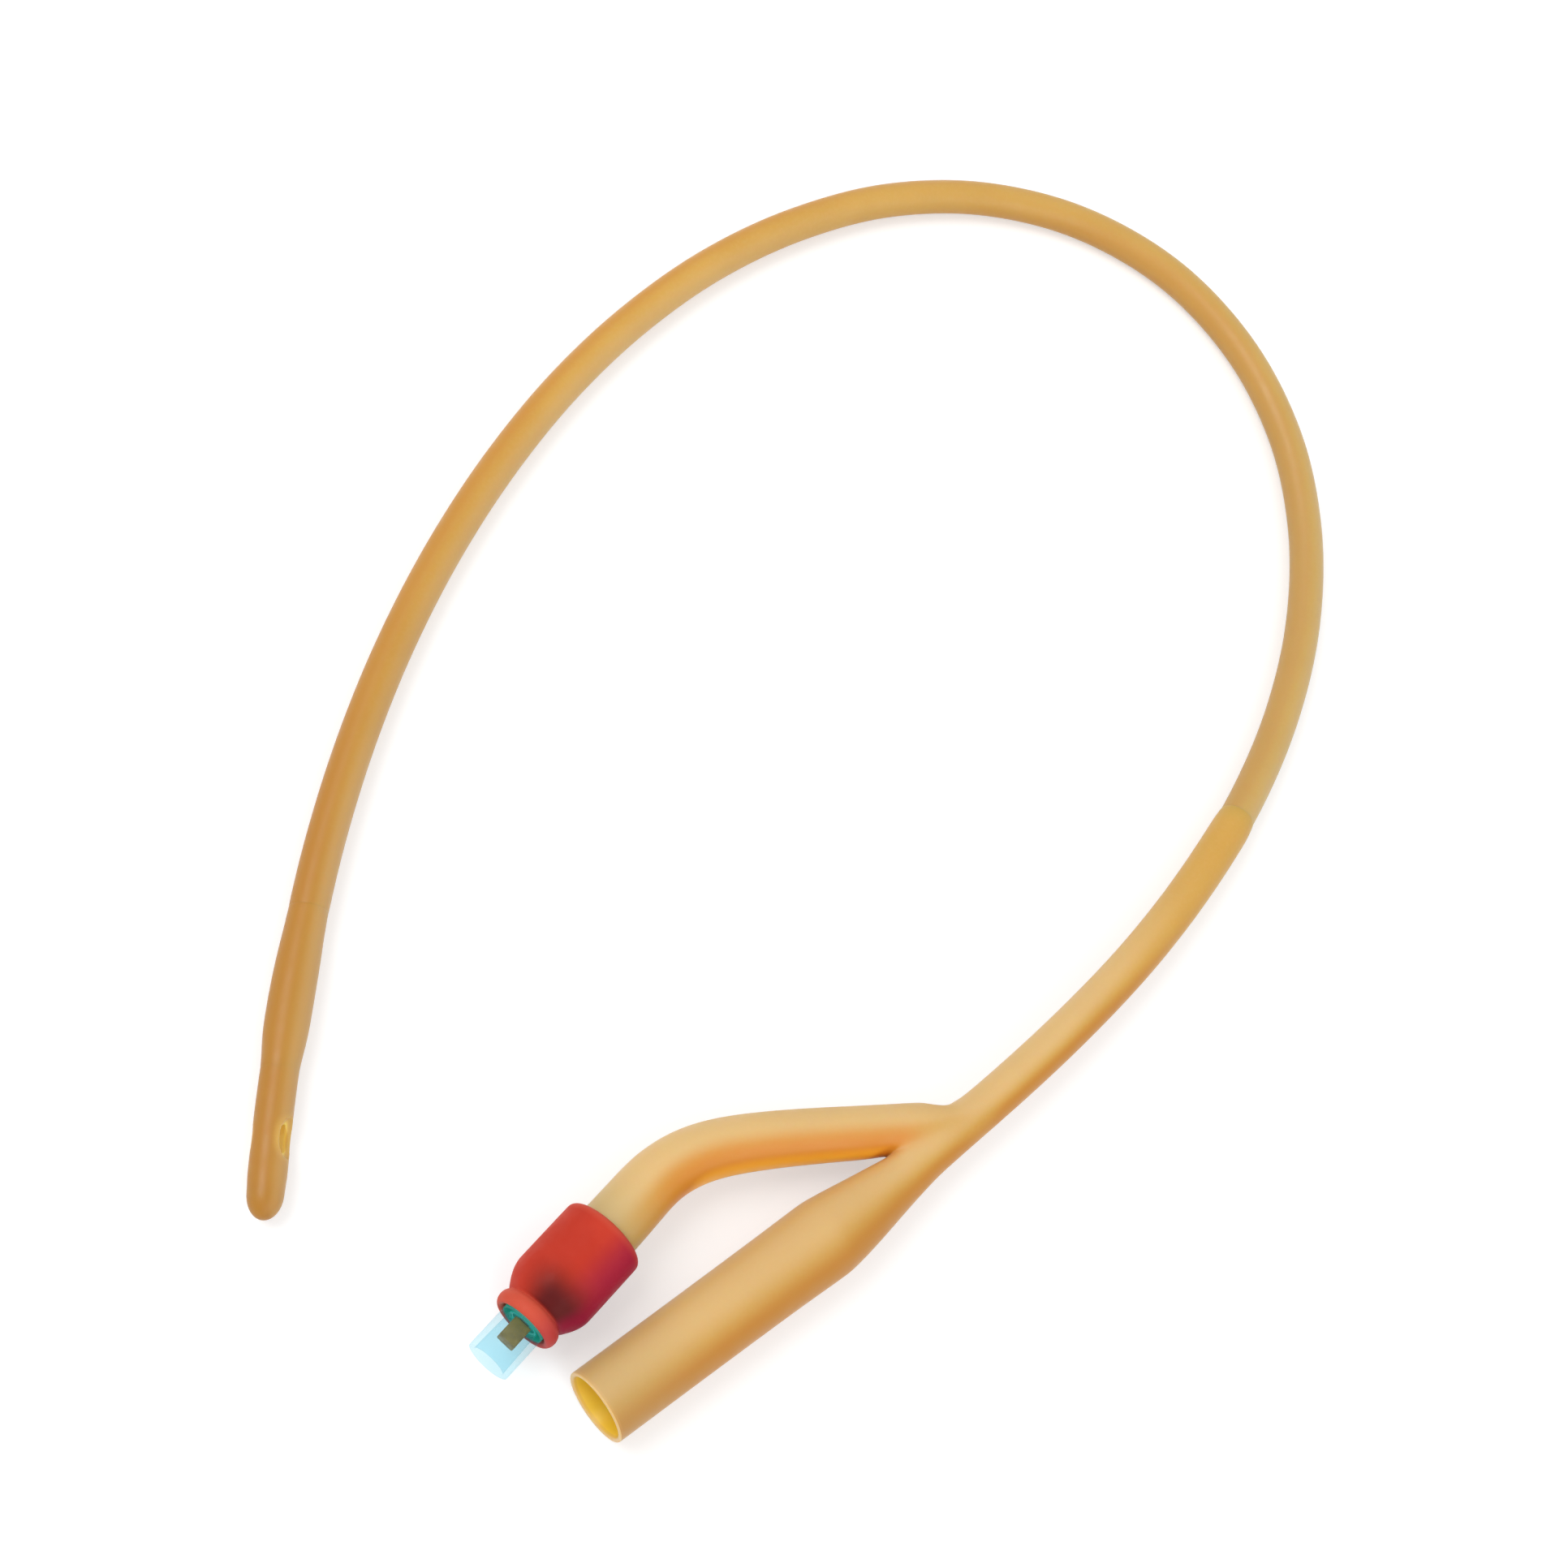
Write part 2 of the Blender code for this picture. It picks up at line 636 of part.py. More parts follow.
        for station, radius in self.funnel_outline():
            funnel.append(self.leg_ring(self.drain_frame(station), -1, radius))
        for place, radius in self.arm_outline():
            arm.append(self.leg_ring(self.arm.frame(place), 1, radius))
        for leg in (funnel, arm):
            for first, second in zip(leg, leg[1:]):
                bridge(self.builder, first, second)
        for ring in (neck[0], funnel[-1], arm[-1]):
            self.close(ring)
        bmesh.ops.recalc_face_normals(self.builder, faces=self.builder.faces)
        for ring in (neck[0], funnel[-1], arm[-1]):
            self.crease(ring)
        connector = add_object("y_connector", self.builder, surface)
        smoothing = connector.modifiers.new("smoothing", "SUBSURF")
        smoothing.levels = 1
        smoothing.render_levels = 1
        return connector

    def funnel_outline(self):
        """Station and outer radius from the crotch to the mouth."""
        mouth = MOUTH_DIAMETER / 2
        shoulder = SHOULDER_DIAMETER / 2
        outline = []
        for share in CONE_RINGS:
            station = FUNNEL_LENGTH + CONE_LENGTH * share
            outline.append((station, self.cone_radius(station)))
        for share, part in FUNNEL_OUTLINE:
            outline.append((FUNNEL_LENGTH * share, between(mouth, shoulder, part)))
        outline.append((RIM_ROUND, mouth))
        outline.append((0.0, mouth - RIM_ROUND))
        return outline

    def arm_outline(self):
        """Place along the arm and outer radius, from the crotch to the end in the cuff."""
        start = self.arm_root_place() + CROTCH_DEPTH * self.ARM_START_SHARE
        end = self.arm.length - ARM_END_PLACE
        outline = []
        for place in even_places(start, end - RIM_ROUND, ARM_STEP):
            share = (place - start) / (end - start)
            diameter = between(ARM_ROOT_DIAMETER, ARM_END_DIAMETER, min(share * self.ARM_HASTE, 1.0))
            outline.append((place, diameter / 2))
        outline.append((end, ARM_END_DIAMETER / 2 - RIM_ROUND))
        return outline


def make_connector(route, arm, surface):
    """Neck, funnel and arm as one smooth moulding, then its shaft socket and its two bores."""
    connector = ConnectorCage(route, arm).build(surface)
    mouth = route.length
    neck_start = mouth - JUNCTION_STATION - NECK_LENGTH
    full_places = full_shaft_places(route)
    shaft_end = full_places[-1]
    socket_places = [neck_start - CUT_OVERRUN]
    socket_places += [place for place in full_places[:-1] if place > neck_start]
    socket_places.append(shaft_end + SEAT_GAP)
    socket = [(place, SHAFT_RADIUS + SEAT_GAP, 0.0) for place in socket_places]
    cut(connector, swept("shaft_socket", route, socket, SHAFT_SIDES))

    lumen = DRAIN_LUMEN_DIAMETER / 2
    bore = DRAIN_BORE_DIAMETER / 2
    throat = mouth - CROTCH_STATION
    cone_end = mouth - FUNNEL_LENGTH
    drain = [
        (shaft_end - CUT_OVERRUN / 2, lumen, DRAIN_LUMEN_ASIDE),
        (shaft_end + LUMEN_RUN_ON, lumen, DRAIN_LUMEN_ASIDE),
        (between(shaft_end, throat, LUMEN_EASE), between(lumen, bore, LUMEN_FLARE), DRAIN_LUMEN_ASIDE / 2),
    ]
    for share, part in THROAT_OUTLINE:
        drain.append((between(throat, cone_end, share), between(lumen, bore, part), 0.0))
    drain.append((cone_end + BORE_EASE_LENGTH, bore, 0.0))
    drain.append((mouth + CUT_OVERRUN, bore, 0.0))
    cut(connector, swept("drain_bore", route, drain, BORE_SIDES))
    cut(connector, make_inflation_cutter(route, arm, shaft_end))
    return connector


def make_inflation_cutter(route, arm, shaft_end):
    """From the shaft's fine lumen through the arm to the socket for the valve's tail."""
    points = []
    for place in (shaft_end - CUT_OVERRUN / 2, shaft_end + LUMEN_RUN_ON):
        centre, aside, _, _ = route.frame(place)
        points.append(centre + aside * INFLATION_LUMEN_ASIDE)
    end = arm.length - ARM_END_PLACE
    for place in even_places(ARM_BORE_JOIN, end + CUT_OVERRUN, ARM_BORE_STEP):
        points.append(arm.at(place))
    line = Path(points)
    tail = TAIL_DIAMETER / 2 + BARB_HEIGHT + SEAT_GAP
    narrow = INFLATION_LUMEN_DIAMETER / 2
    wide = ARM_BORE_DIAMETER / 2
    tail_start = line.length - CUT_OVERRUN - TAIL_LENGTH - SEAT_GAP
    stations = [(0.0, narrow, 0.0), (CUT_OVERRUN, narrow, 0.0)]
    for place in even_places(ARM_BORE_FLARE, tail_start, ARM_BORE_STEP):
        stations.append((place, between(narrow, wide, ease(place / ARM_BORE_WIDENING)), 0.0))
    stations.append((tail_start + SEAT_GAP / 2, tail, 0.0))
    stations.append((line.length, tail, 0.0))
    return swept("inflation_bore", line, stations, BORE_SIDES)


def make_cuff(surface, parent):
    """Sleeve with a rolled bead, a narrow neck over the housing and a wide body over the arm."""
    body = CUFF_DIAMETER / 2
    neck = CUFF_NECK_DIAMETER / 2
    grip = HOUSING_DIAMETER / 2 + SEAT_GAP
    front = HOUSING_PROTRUSION
    bead = BEAD_DIAMETER / 2
    curl = BEAD_LENGTH / 2
    outline = [(front + SEAT_GAP, grip)]
    for degrees in (20, 50, 90, 130, 165):
        turn = math.radians(degrees)
        height = between(between(grip, bead, BEAD_HOLLOW), bead, math.sin(turn))
        outline.append((front + curl * (1 - math.cos(turn)), height))
    shoulder = front + BEAD_LENGTH + curl * BEAD_RUN_OUT
    outline.append((shoulder, neck))
    for share in (0.2, 0.4, 0.6, 0.8, 1.0):
        swell = math.sin(share * math.pi / 2) ** CUFF_SWELL
        outline.append((shoulder + CUFF_SHOULDER_LENGTH * share, between(neck, body, swell)))
    end = CUFF_END_PLACE
    for degrees in (0, 30, 60, 90):
        turn = math.radians(degrees)
        place = end - CUFF_EDGE_ROUND * (1 - math.sin(turn))
        outline.append((place, body - CUFF_EDGE_ROUND * (1 - math.cos(turn))))
    arm = ARM_END_DIAMETER / 2 + SEAT_GAP * 2
    flange = HOUSING_FLANGE_DIAMETER / 2 + SEAT_GAP
    flange_front = ARM_END_PLACE - HOUSING_FLANGE_THICKNESS - SEAT_GAP * 2
    outline += [(end, arm), (ARM_END_PLACE, arm), (ARM_END_PLACE, flange), (flange_front, flange)]
    outline.append((flange_front, grip))
    return turned("size_cuff", outline, surface, parent)


def make_housing(surface, parent):
    """Clear body: tapered syringe socket, valve seat, spring chamber, flange and barbed tail."""
    outer = HOUSING_DIAMETER / 2
    tail = TAIL_DIAMETER / 2
    flange = HOUSING_FLANGE_DIAMETER / 2
    flange_back = ARM_END_PLACE - SEAT_GAP
    flange_front = flange_back - HOUSING_FLANGE_THICKNESS
    mouth = SOCKET_MOUTH_DIAMETER / 2
    socket_bottom = mouth - SOCKET_DEPTH * SOCKET_TAPER / 2
    chamber = CHAMBER_DIAMETER / 2
    outline = [
        (0.0, mouth),
        (0.0, outer - HOUSING_RIM_ROUND),
        (HOUSING_RIM_ROUND, outer),
        (flange_front, outer),
        (flange_front, flange),
        (flange_back, flange),
        (flange_back, tail),
    ]
    pitch = TAIL_LENGTH / (BARB_COUNT + 1)
    for barb in range(BARB_COUNT):
        top = flange_back + pitch * (barb + BARB_SETBACK)
        outline += [(top, tail), (top, tail + BARB_HEIGHT), (top + BARB_LENGTH, tail)]
    outline += [
        (TAIL_END_PLACE, tail),
        (TAIL_END_PLACE, chamber),
        (CHAMBER_PLACE, chamber),
        (CHAMBER_PLACE, SEAT_HOLE_RADIUS),
        (SOCKET_DEPTH, SEAT_HOLE_RADIUS),
        (SOCKET_DEPTH, socket_bottom),
    ]
    return turned("valve_housing", outline, surface, parent)


def make_plunger(surface, parent):
    """Square head in the syringe socket, stem through the seat, flange and guide pin."""
    head_end = HEAD_PLACE + HEAD_LENGTH
    stem = STEM_DIAMETER / 2
    flange = PLUNGER_FLANGE_DIAMETER / 2
    pin = GUIDE_PIN_DIAMETER / 2
    overlap = HEAD_LENGTH / 4
    outline = [
        (head_end - overlap, 0.0),
        (head_end - overlap, stem),
        (PLUNGER_FLANGE_PLACE, stem),
        (PLUNGER_FLANGE_PLACE, flange),
        (GUIDE_PIN_PLACE, flange),
        (GUIDE_PIN_PLACE, pin),
        (GUIDE_PIN_PLACE + GUIDE_PIN_LENGTH, pin),
        (GUIDE_PIN_PLACE + GUIDE_PIN_LENGTH, 0.0),
    ]
    plunger = turned("valve_plunger", outline, surface, parent, SMALL_TURNED_SIDES)

    mesh_builder = bmesh.new()
    bmesh.ops.create_cube(mesh_builder, size=1.0)
    bmesh.ops.scale(mesh_builder, vec=(HEAD_WIDTH, HEAD_WIDTH, HEAD_LENGTH), verts=mesh_builder.verts)
    middle = Vector((0, 0, HEAD_PLACE + HEAD_LENGTH / 2))
    bmesh.ops.translate(mesh_builder, vec=middle, verts=mesh_builder.verts)
    corners = []
    for edge in mesh_builder.edges:
        first, second = edge.verts
        if abs(first.co.z - second.co.z) > HEAD_LENGTH / 2:
            corners.append(edge)
    bmesh.ops.bevel(
        mesh_builder,
        geom=corners,
        offset=HEAD_ROUND,
        segments=HEAD_ROUND_SEGMENTS,
        profile=0.5,
        affect="EDGES",
    )
    head = add_object("plunger_head", mesh_builder, surface, parent)
    head.hide_render = True
    head.display_type = "WIRE"
    joined = plunger.modifiers.new("head", "BOOLEAN")
    joined.operation = "UNION"
    joined.solver = "EXACT"
    joined.object = head
    return plunger


def make_seal(surface, parent):
    inner = STEM_DIAMETER / 2 + SEAT_GAP
    outer = CHAMBER_DIAMETER / 2 - SEAL_CLEARANCE
    front = SEAL_PLACE
    back = SEAL_PLACE + SEAL_THICKNESS
    outline = [(front, inner), (front, outer), (back, outer), (back, inner)]
    return turned("valve_seal", outline, surface, parent, SMALL_TURNED_SIDES)


def make_spring(surface, parent):
    """Helical wire between the plunger's flange and the retainer."""
    wire = SPRING_WIRE / 2
    start = GUIDE_PIN_PLACE + wire + SEAT_GAP
    end = RETAINER_PLACE - wire - SEAT_GAP
    radius = SPRING_DIAMETER / 2
    steps = round(SPRING_TURNS * SPRING_SIDES_PER_TURN)
    curve = bpy.data.curves.new("valve_spring", "CURVE")
    curve.dimensions = "3D"
    curve.bevel_depth = wire
    curve.bevel_resolution = 1
    curve.use_fill_caps = True
    line = curve.splines.new("POLY")
    line.points.add(steps)
    for step in range(steps + 1):
        share = step / steps
        turn = 2 * math.pi * SPRING_TURNS * share
        spot = (radius * math.cos(turn), radius * math.sin(turn), between(start, end, share))
        line.points[step].co = (*spot, 1)
    curve.materials.append(surface)
    spring = bpy.data.objects.new("valve_spring", curve)
    bpy.context.scene.collection.objects.link(spring)
    spring.parent = parent
    return spring


def make_retainer(surface, parent):
    """Disc pressed into the tail, pierced so that water passes it."""
    radius = CHAMBER_DIAMETER / 2 - SEAT_GAP
    front = RETAINER_PLACE
    back = TAIL_END_PLACE
    outline = [(front, 0.0), (front, radius), (back, radius), (back, 0.0)]
    retainer = turned("valve_retainer", outline, surface, parent)
    for hole in range(RETAINER_HOLES):
        turn = 2 * math.pi * hole / RETAINER_HOLES
        ring = radius * RETAINER_HOLE_RING
        spot = Vector((ring * math.cos(turn), ring * math.sin(turn), (front + back) / 2))
        mesh_builder = bmesh.new()
        bmesh.ops.create_cone(
            mesh_builder,
            cap_ends=True,
            segments=LUMEN_SIDES,
            radius1=RETAINER_HOLE_DIAMETER / 2,
            radius2=RETAINER_HOLE_DIAMETER / 2,
            depth=RETAINER_THICKNESS + 2 * CUT_OVERRUN,
            matrix=Matrix.Translation(spot),
        )
        cut(retainer, add_object(f"retainer_hole_{hole}", mesh_builder, None, parent))
    return retainer


def arm_path(route):
    """The arm's centreline from the junction to the valve's inlet rim, and the inlet's frame."""
    junction = route.at(route.length - JUNCTION_STATION)
    inward = Vector((-math.sin(INLET_ANGLE), math.cos(INLET_ANGLE), 0))
    inlet = junction + Vector((*INLET_OFFSET, 0))
    inlet.z = CUFF_DIAMETER / 2
    points = [junction + Vector((x, y, 0)) for x, y in ARM_BEND_POINTS]
    for index, point in enumerate(points):
        share = index / (len(points) - 1)
        point.z = between(junction.z, inlet.z, ease(share))
    for place in (CUFF_END_PLACE + ARM_STRAIGHT, CUFF_END_PLACE, ARM_END_PLACE, 0.0):
        points.append(inlet + inward * place)
    return Path(points), inlet, inward


def main():
    clear_scene()
    latex = material("latex", (0.78, 0.50, 0.20), 0.42)
    thin_latex = material("balloon_latex", (0.76, 0.49, 0.21), 0.48)
    red = material("red_rubber", (0.62, 0.06, 0.05), 0.45)
    clear = material("clear_blue", (0.45, 0.80, 0.88), 0.12, alpha=0.45)
    olive = material("olive_plastic", (0.20, 0.15, 0.06), 0.4)
    rubber = material("seal_rubber", (0.05, 0.05, 0.05), 0.6)
    steel = material("spring_steel", (0.6, 0.6, 0.62), 0.25, metallic=1.0)
    teal = material("teal_plastic", (0.0, 0.35, 0.28), 0.35)

    route = Path(ROUTE, tube_height)
    arm, inlet, inward = arm_path(route)
    make_tip(route, latex)
    make_shaft(route, latex)
    make_balloon(route, thin_latex)
    make_connector(route, arm, latex)

    valve_axis = bpy.data.objects.new("valve_axis", None)
    bpy.context.scene.collection.objects.link(valve_axis)
    up = Vector((0, 0, 1))
    turn = Matrix((up, inward.cross(up), inward)).transposed().to_4x4()
    valve_axis.matrix_world = Matrix.Translation(inlet) @ turn
    make_cuff(red, valve_axis)
    make_housing(clear, valve_axis)
    make_plunger(olive, valve_axis)
    make_seal(rubber, valve_axis)
    make_spring(steel, valve_axis)
    make_retainer(teal, valve_axis)


main()
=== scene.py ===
"""Look of a two-way balloon urinary catheter, lying in an open loop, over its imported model."""

import math

import bmesh
import bpy
from mathutils import Matrix, Vector
from mathutils.kdtree import KDTree


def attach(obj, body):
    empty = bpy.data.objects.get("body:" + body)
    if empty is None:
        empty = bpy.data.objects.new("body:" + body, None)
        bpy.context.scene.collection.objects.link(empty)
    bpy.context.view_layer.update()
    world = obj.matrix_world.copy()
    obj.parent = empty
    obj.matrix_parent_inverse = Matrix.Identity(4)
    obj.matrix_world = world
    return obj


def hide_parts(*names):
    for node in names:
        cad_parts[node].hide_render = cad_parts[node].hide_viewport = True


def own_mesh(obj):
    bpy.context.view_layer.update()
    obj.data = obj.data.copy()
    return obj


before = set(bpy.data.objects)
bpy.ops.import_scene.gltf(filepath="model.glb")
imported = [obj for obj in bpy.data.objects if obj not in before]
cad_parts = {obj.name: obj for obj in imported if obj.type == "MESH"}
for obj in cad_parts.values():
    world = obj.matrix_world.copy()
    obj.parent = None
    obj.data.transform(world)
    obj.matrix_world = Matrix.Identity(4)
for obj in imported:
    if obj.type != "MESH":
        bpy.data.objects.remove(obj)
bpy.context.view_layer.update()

# Sizes shared with the solids, in metres
SHAFT_RADIUS = 0.00235
LUMEN_RADIUS = 0.00135
SEAT_GAP = 0.00004
TIP_RADIUS = 0.0022
TIP_LENGTH = 0.0178
NOSE_LENGTH = 0.0030
TIP_END_WALL = 0.0042
EYE_SETBACK = 0.0092
EYE_LENGTH = 0.0042
EYE_WIDTH = 0.0023
EYE_TURN = math.radians(58)
BALLOON_START = 0.0168
BALLOON_LENGTH = 0.0205
BALLOON_RADIUS = 0.002625
MOUTH_RADIUS = 0.0046
SHOULDER_RADIUS = 0.0049
BORE_RADIUS = 0.00315
FUNNEL_LENGTH = 0.034
CONE_LENGTH = 0.0155
JUNCTION_LENGTH = 0.0097
NECK_LENGTH = 0.0588
NECK_RADIUS = 0.0026
SHAFT_INSERTION = 0.0025
CROTCH_DEPTH = 0.0029
ARM_LENGTHENING = 1.1
ARM_ROOT_RADIUS = 0.0032
ARM_END_RADIUS = 0.00375
ARM_BORE_RADIUS = 0.00268
CROTCH_STATION = FUNNEL_LENGTH + CONE_LENGTH
JUNCTION_STATION = CROTCH_STATION + JUNCTION_LENGTH
ARM_ROOT = JUNCTION_LENGTH * ARM_LENGTHENING
ARM_BEND = [
    (0.0, 0.0),
    (0.0, -0.0028),
    (-0.0018, -0.0062),
    (-0.0052, -0.0121),
    (-0.0092, -0.0191),
    (-0.0127, -0.0257),
    (-0.0152, -0.0317),
    (-0.0159, -0.0367),
]
INLET_OFFSET = (-0.00985, -0.0661)
INLET_ANGLE = math.radians(11.75)
ARM_STRAIGHT = 0.0036
CUFF_RADIUS = 0.00525
CUFF_NECK_RADIUS = 0.00395
CUFF_START = 0.0055
CUFF_END = 0.0198
BEAD_RADIUS = 0.00415
BEAD_LENGTH = 0.0021
CUFF_SHOULDER_LENGTH = 0.0032
CUFF_EDGE_ROUND = 0.0008
ARM_END = 0.0109
HOUSING_RADIUS = 0.0028
FLANGE_RADIUS = 0.0034
FLANGE_THICKNESS = 0.001
TAIL_RADIUS = 0.00245
TAIL_END = 0.0154
SOCKET_RADIUS = 0.00215
SOCKET_DEPTH = 0.0058
SOCKET_BOTTOM_RADIUS = 0.001976
CHAMBER_START = 0.0066
CHAMBER_RADIUS = 0.00205
SEAT_HOLE_RADIUS = 0.00158
SPRING_START = 0.00797
SPRING_END = 0.01401
SPRING_RADIUS = 0.0013
SPRING_WIRE = 0.00015
SPRING_TURNS = 5.5
HEAD_WIDTH = 0.0023
HEAD_ROUND = 0.00035
HEAD_PLACE = 0.0029
HEAD_LENGTH = 0.0027
STEM_RADIUS = 0.00075
PLUNGER_FLANGE_RADIUS = 0.0017
PLUNGER_FLANGE_PLACE = 0.00723
GUIDE_PIN_RADIUS = 0.00065
GUIDE_PIN_PLACE = 0.00778
GUIDE_PIN_END = 0.01028
BARB_PLACES = (0.0121, 0.0136)
BARB_LENGTH = 0.0011
BARB_HEIGHT = 0.00015

# Sizes and places that only this scene uses, in metres
LIP_RADIUS = 0.00405
LIP_DEPTH = 0.0100
NOSE_FINENESS = 0.95
DENT_SPOT = (0.0517, -0.0204, 0.0050)
DENT_DEPTH = 0.0005
DENT_REACH = 0.0027
SEAT_THINNING = 0.065
SEAT_SHOULDER = 0.0006
WELD = 0.000001

# How finely the round pieces are made
TUBE_SIDES = 64
VALVE_SIDES = 96
PLUNGER_SIDES = 48
SHAFT_STEPS = 300
NECK_STEPS = 11
ARM_STEPS = 13
SPRING_STEPS = 220
VOXEL = 0.00011

# Centreline of the tube, from the tip round the loop to the funnel's mouth
ROUTE = [
    (0.01825, -0.09360),
    (0.00650, -0.08395),
    (-0.00460, -0.07385),
    (-0.01510, -0.06325),
    (-0.02480, -0.05185),
    (-0.03360, -0.03965),
    (-0.04130, -0.02685),
    (-0.04790, -0.01335),
    (-0.05320, 0.00065),
    (-0.05690, 0.01515),
    (-0.05880, 0.03005),
    (-0.05840, 0.04495),
    (-0.05540, 0.05965),
    (-0.04890, 0.07305),
    (-0.03870, 0.08395),
    (-0.02540, 0.09065),
    (-0.01060, 0.09195),
    (0.00390, 0.08825),
    (0.01670, 0.08055),
    (0.02750, 0.07015),
    (0.03620, 0.05795),
    (0.04290, 0.04455),
    (0.04780, 0.03045),
    (0.05140, 0.01585),
    (0.05370, 0.00105),
    (0.05510, -0.01335),
    (0.05570, -0.02285),
    (0.05620, -0.03035),
    (0.05645, -0.03735),
    (0.05645, -0.05035),
    (0.05645, -0.07570),
]
TIP_REST_LENGTH = 0.045
TIP_EASE_LENGTH = 0.05
NECK_RISE_LENGTH = 0.082


def ease(share):
    """Smooth step from nought to one, flat at both ends."""
    share = min(max(share, 0.0), 1.0)
    return share * share * (3 - 2 * share)


def rise(value, start, length):
    """Nought up to the start, one after the length, and smooth between them."""
    return ease((value - start) / length)


def fall(value, start, length):
    """One up to the start, nought after the length, and smooth between them."""
    return 1 - rise(value, start, length)


def between(low, high, share):
    """The value at a share of the way from low to high."""
    return low + (high - low) * share


def tube_height(place, length):
    """Height of the tube's axis where it lies on the table."""
    resting = between(BALLOON_RADIUS, SHAFT_RADIUS, rise(place, TIP_REST_LENGTH, TIP_EASE_LENGTH))
    junction = length - JUNCTION_STATION
    return between(resting, SHOULDER_RADIUS, rise(place, junction - NECK_RISE_LENGTH, NECK_RISE_LENGTH))


class Line:
    """A smooth line through a few points, read by the distance along it."""

    SAMPLES = 24

    def __init__(self, points, height=None):
        self.points = self.smooth([Vector((*p, 0.0)) if len(p) == 2 else Vector(p) for p in points])
        self.measure()
        if height is not None:
            for point, place in zip(self.points, self.places):
                point.z = height(place, self.length)
            self.measure()

    def smooth(self, knots):
        spans = [(b - a).length for a, b in zip(knots, knots[1:])]
        slopes = [(b - a) / span for a, b, span in zip(knots, knots[1:], spans)]
        headings = [slopes[0]]
        for before, after, slope_in, slope_out in zip(spans, spans[1:], slopes, slopes[1:]):
            headings.append((slope_in * after + slope_out * before) / (before + after))
        headings.append(slopes[-1])
        points = []
        for index, span in enumerate(spans):
            for step in range(self.SAMPLES):
                t = step / self.SAMPLES
                points.append(
                    knots[index] * (2 * t**3 - 3 * t**2 + 1)
                    + knots[index + 1] * (3 * t**2 - 2 * t**3)
                    + headings[index] * span * (t**3 - 2 * t**2 + t)
                    + headings[index + 1] * span * (t**3 - t**2)
                )
        points.append(knots[-1].copy())
        return points

    def measure(self):
        self.places = [0.0]
        for a, b in zip(self.points, self.points[1:]):
            self.places.append(self.places[-1] + (b - a).length)
        self.length = self.places[-1]

    def at(self, place):
        if place <= 0:
            return self.points[0] + (self.points[1] - self.points[0]).normalized() * place
        if place >= self.length:
            end = (self.points[-1] - self.points[-2]).normalized()
            return self.points[-1] + end * (place - self.length)
        low, high = 0, len(self.places) - 1
        while high - low > 1:
            middle = (low + high) // 2
            if self.places[middle] > place:
                high = middle
            else:
                low = middle
        share = (place - self.places[low]) / (self.places[high] - self.places[low])
        return self.points[low].lerp(self.points[high], share)

    def frame(self, place):
        """Centre, direction to the loop's inside, upward direction, and heading."""
        reach = 0.0012
        heading = (self.at(place + reach) - self.at(place - reach)).normalized()
        aside = heading.cross(Vector((0, 0, 1))).normalized()
        return self.at(place), aside, aside.cross(heading), heading


def arm_line(route):
    """The arm's centreline, the valve inlet's centre and the valve's inward direction."""
    junction = route.at(route.length - JUNCTION_STATION)
    inward = Vector((-math.sin(INLET_ANGLE), math.cos(INLET_ANGLE), 0))
    inlet = junction + Vector((*INLET_OFFSET, 0))
    inlet.z = CUFF_RADIUS
    points = [junction + Vector((x, y, 0)) for x, y in ARM_BEND]
    for index, point in enumerate(points):
        point.z = between(junction.z, inlet.z, ease(index / (len(points) - 1)))
    for place in (CUFF_END + ARM_STRAIGHT, CUFF_END, ARM_END, 0.0):
        points.append(inlet + inward * place)
    return Line(points), inlet, inward


route = Line(ROUTE, tube_height)
arm, inlet, inward = arm_line(route)
NECK_START = JUNCTION_STATION + NECK_LENGTH
UP = Vector((0, 0, 1))
VALVE_PLACE = Matrix.Translation(inlet) @ Matrix((UP, inward.cross(UP), inward)).transposed().to_4x4()


# Working steps that several pieces share

def select_alone(thing):
    bpy.ops.object.select_all(action="DESELECT")
    thing.select_set(True)
    bpy.context.view_layer.objects.active = thing


def open_net(piece):
    """The net of a piece in edit mode, ready to be read by vertex number."""
    net = bmesh.from_edit_mesh(piece.data)
    net.verts.ensure_lookup_table()
    return net


def close_up():
    """Welds the net in edit mode, turns its faces outwards and leaves edit mode."""
    bpy.ops.mesh.select_all(action="SELECT")
    bpy.ops.mesh.remove_doubles(threshold=WELD)
    bpy.ops.mesh.normals_make_consistent(inside=False)
    bpy.ops.object.mode_set(mode="OBJECT")


def start_piece(name, spot):
    """A new mesh of one vertex, left in edit mode with the vertex selected."""
    bpy.ops.object.select_all(action="DESELECT")
    bpy.ops.mesh.primitive_plane_add(size=0.002, location=(0, 0, 0))
    piece = bpy.context.object
    piece.name = name
    piece.data.name = name
    bpy.ops.object.mode_set(mode="EDIT")
    bpy.ops.mesh.select_mode(type="VERT")
    bpy.ops.mesh.select_all(action="SELECT")
    bpy.ops.mesh.merge(type="CENTER")
    bpy.ops.transform.translate(value=spot)
    return piece


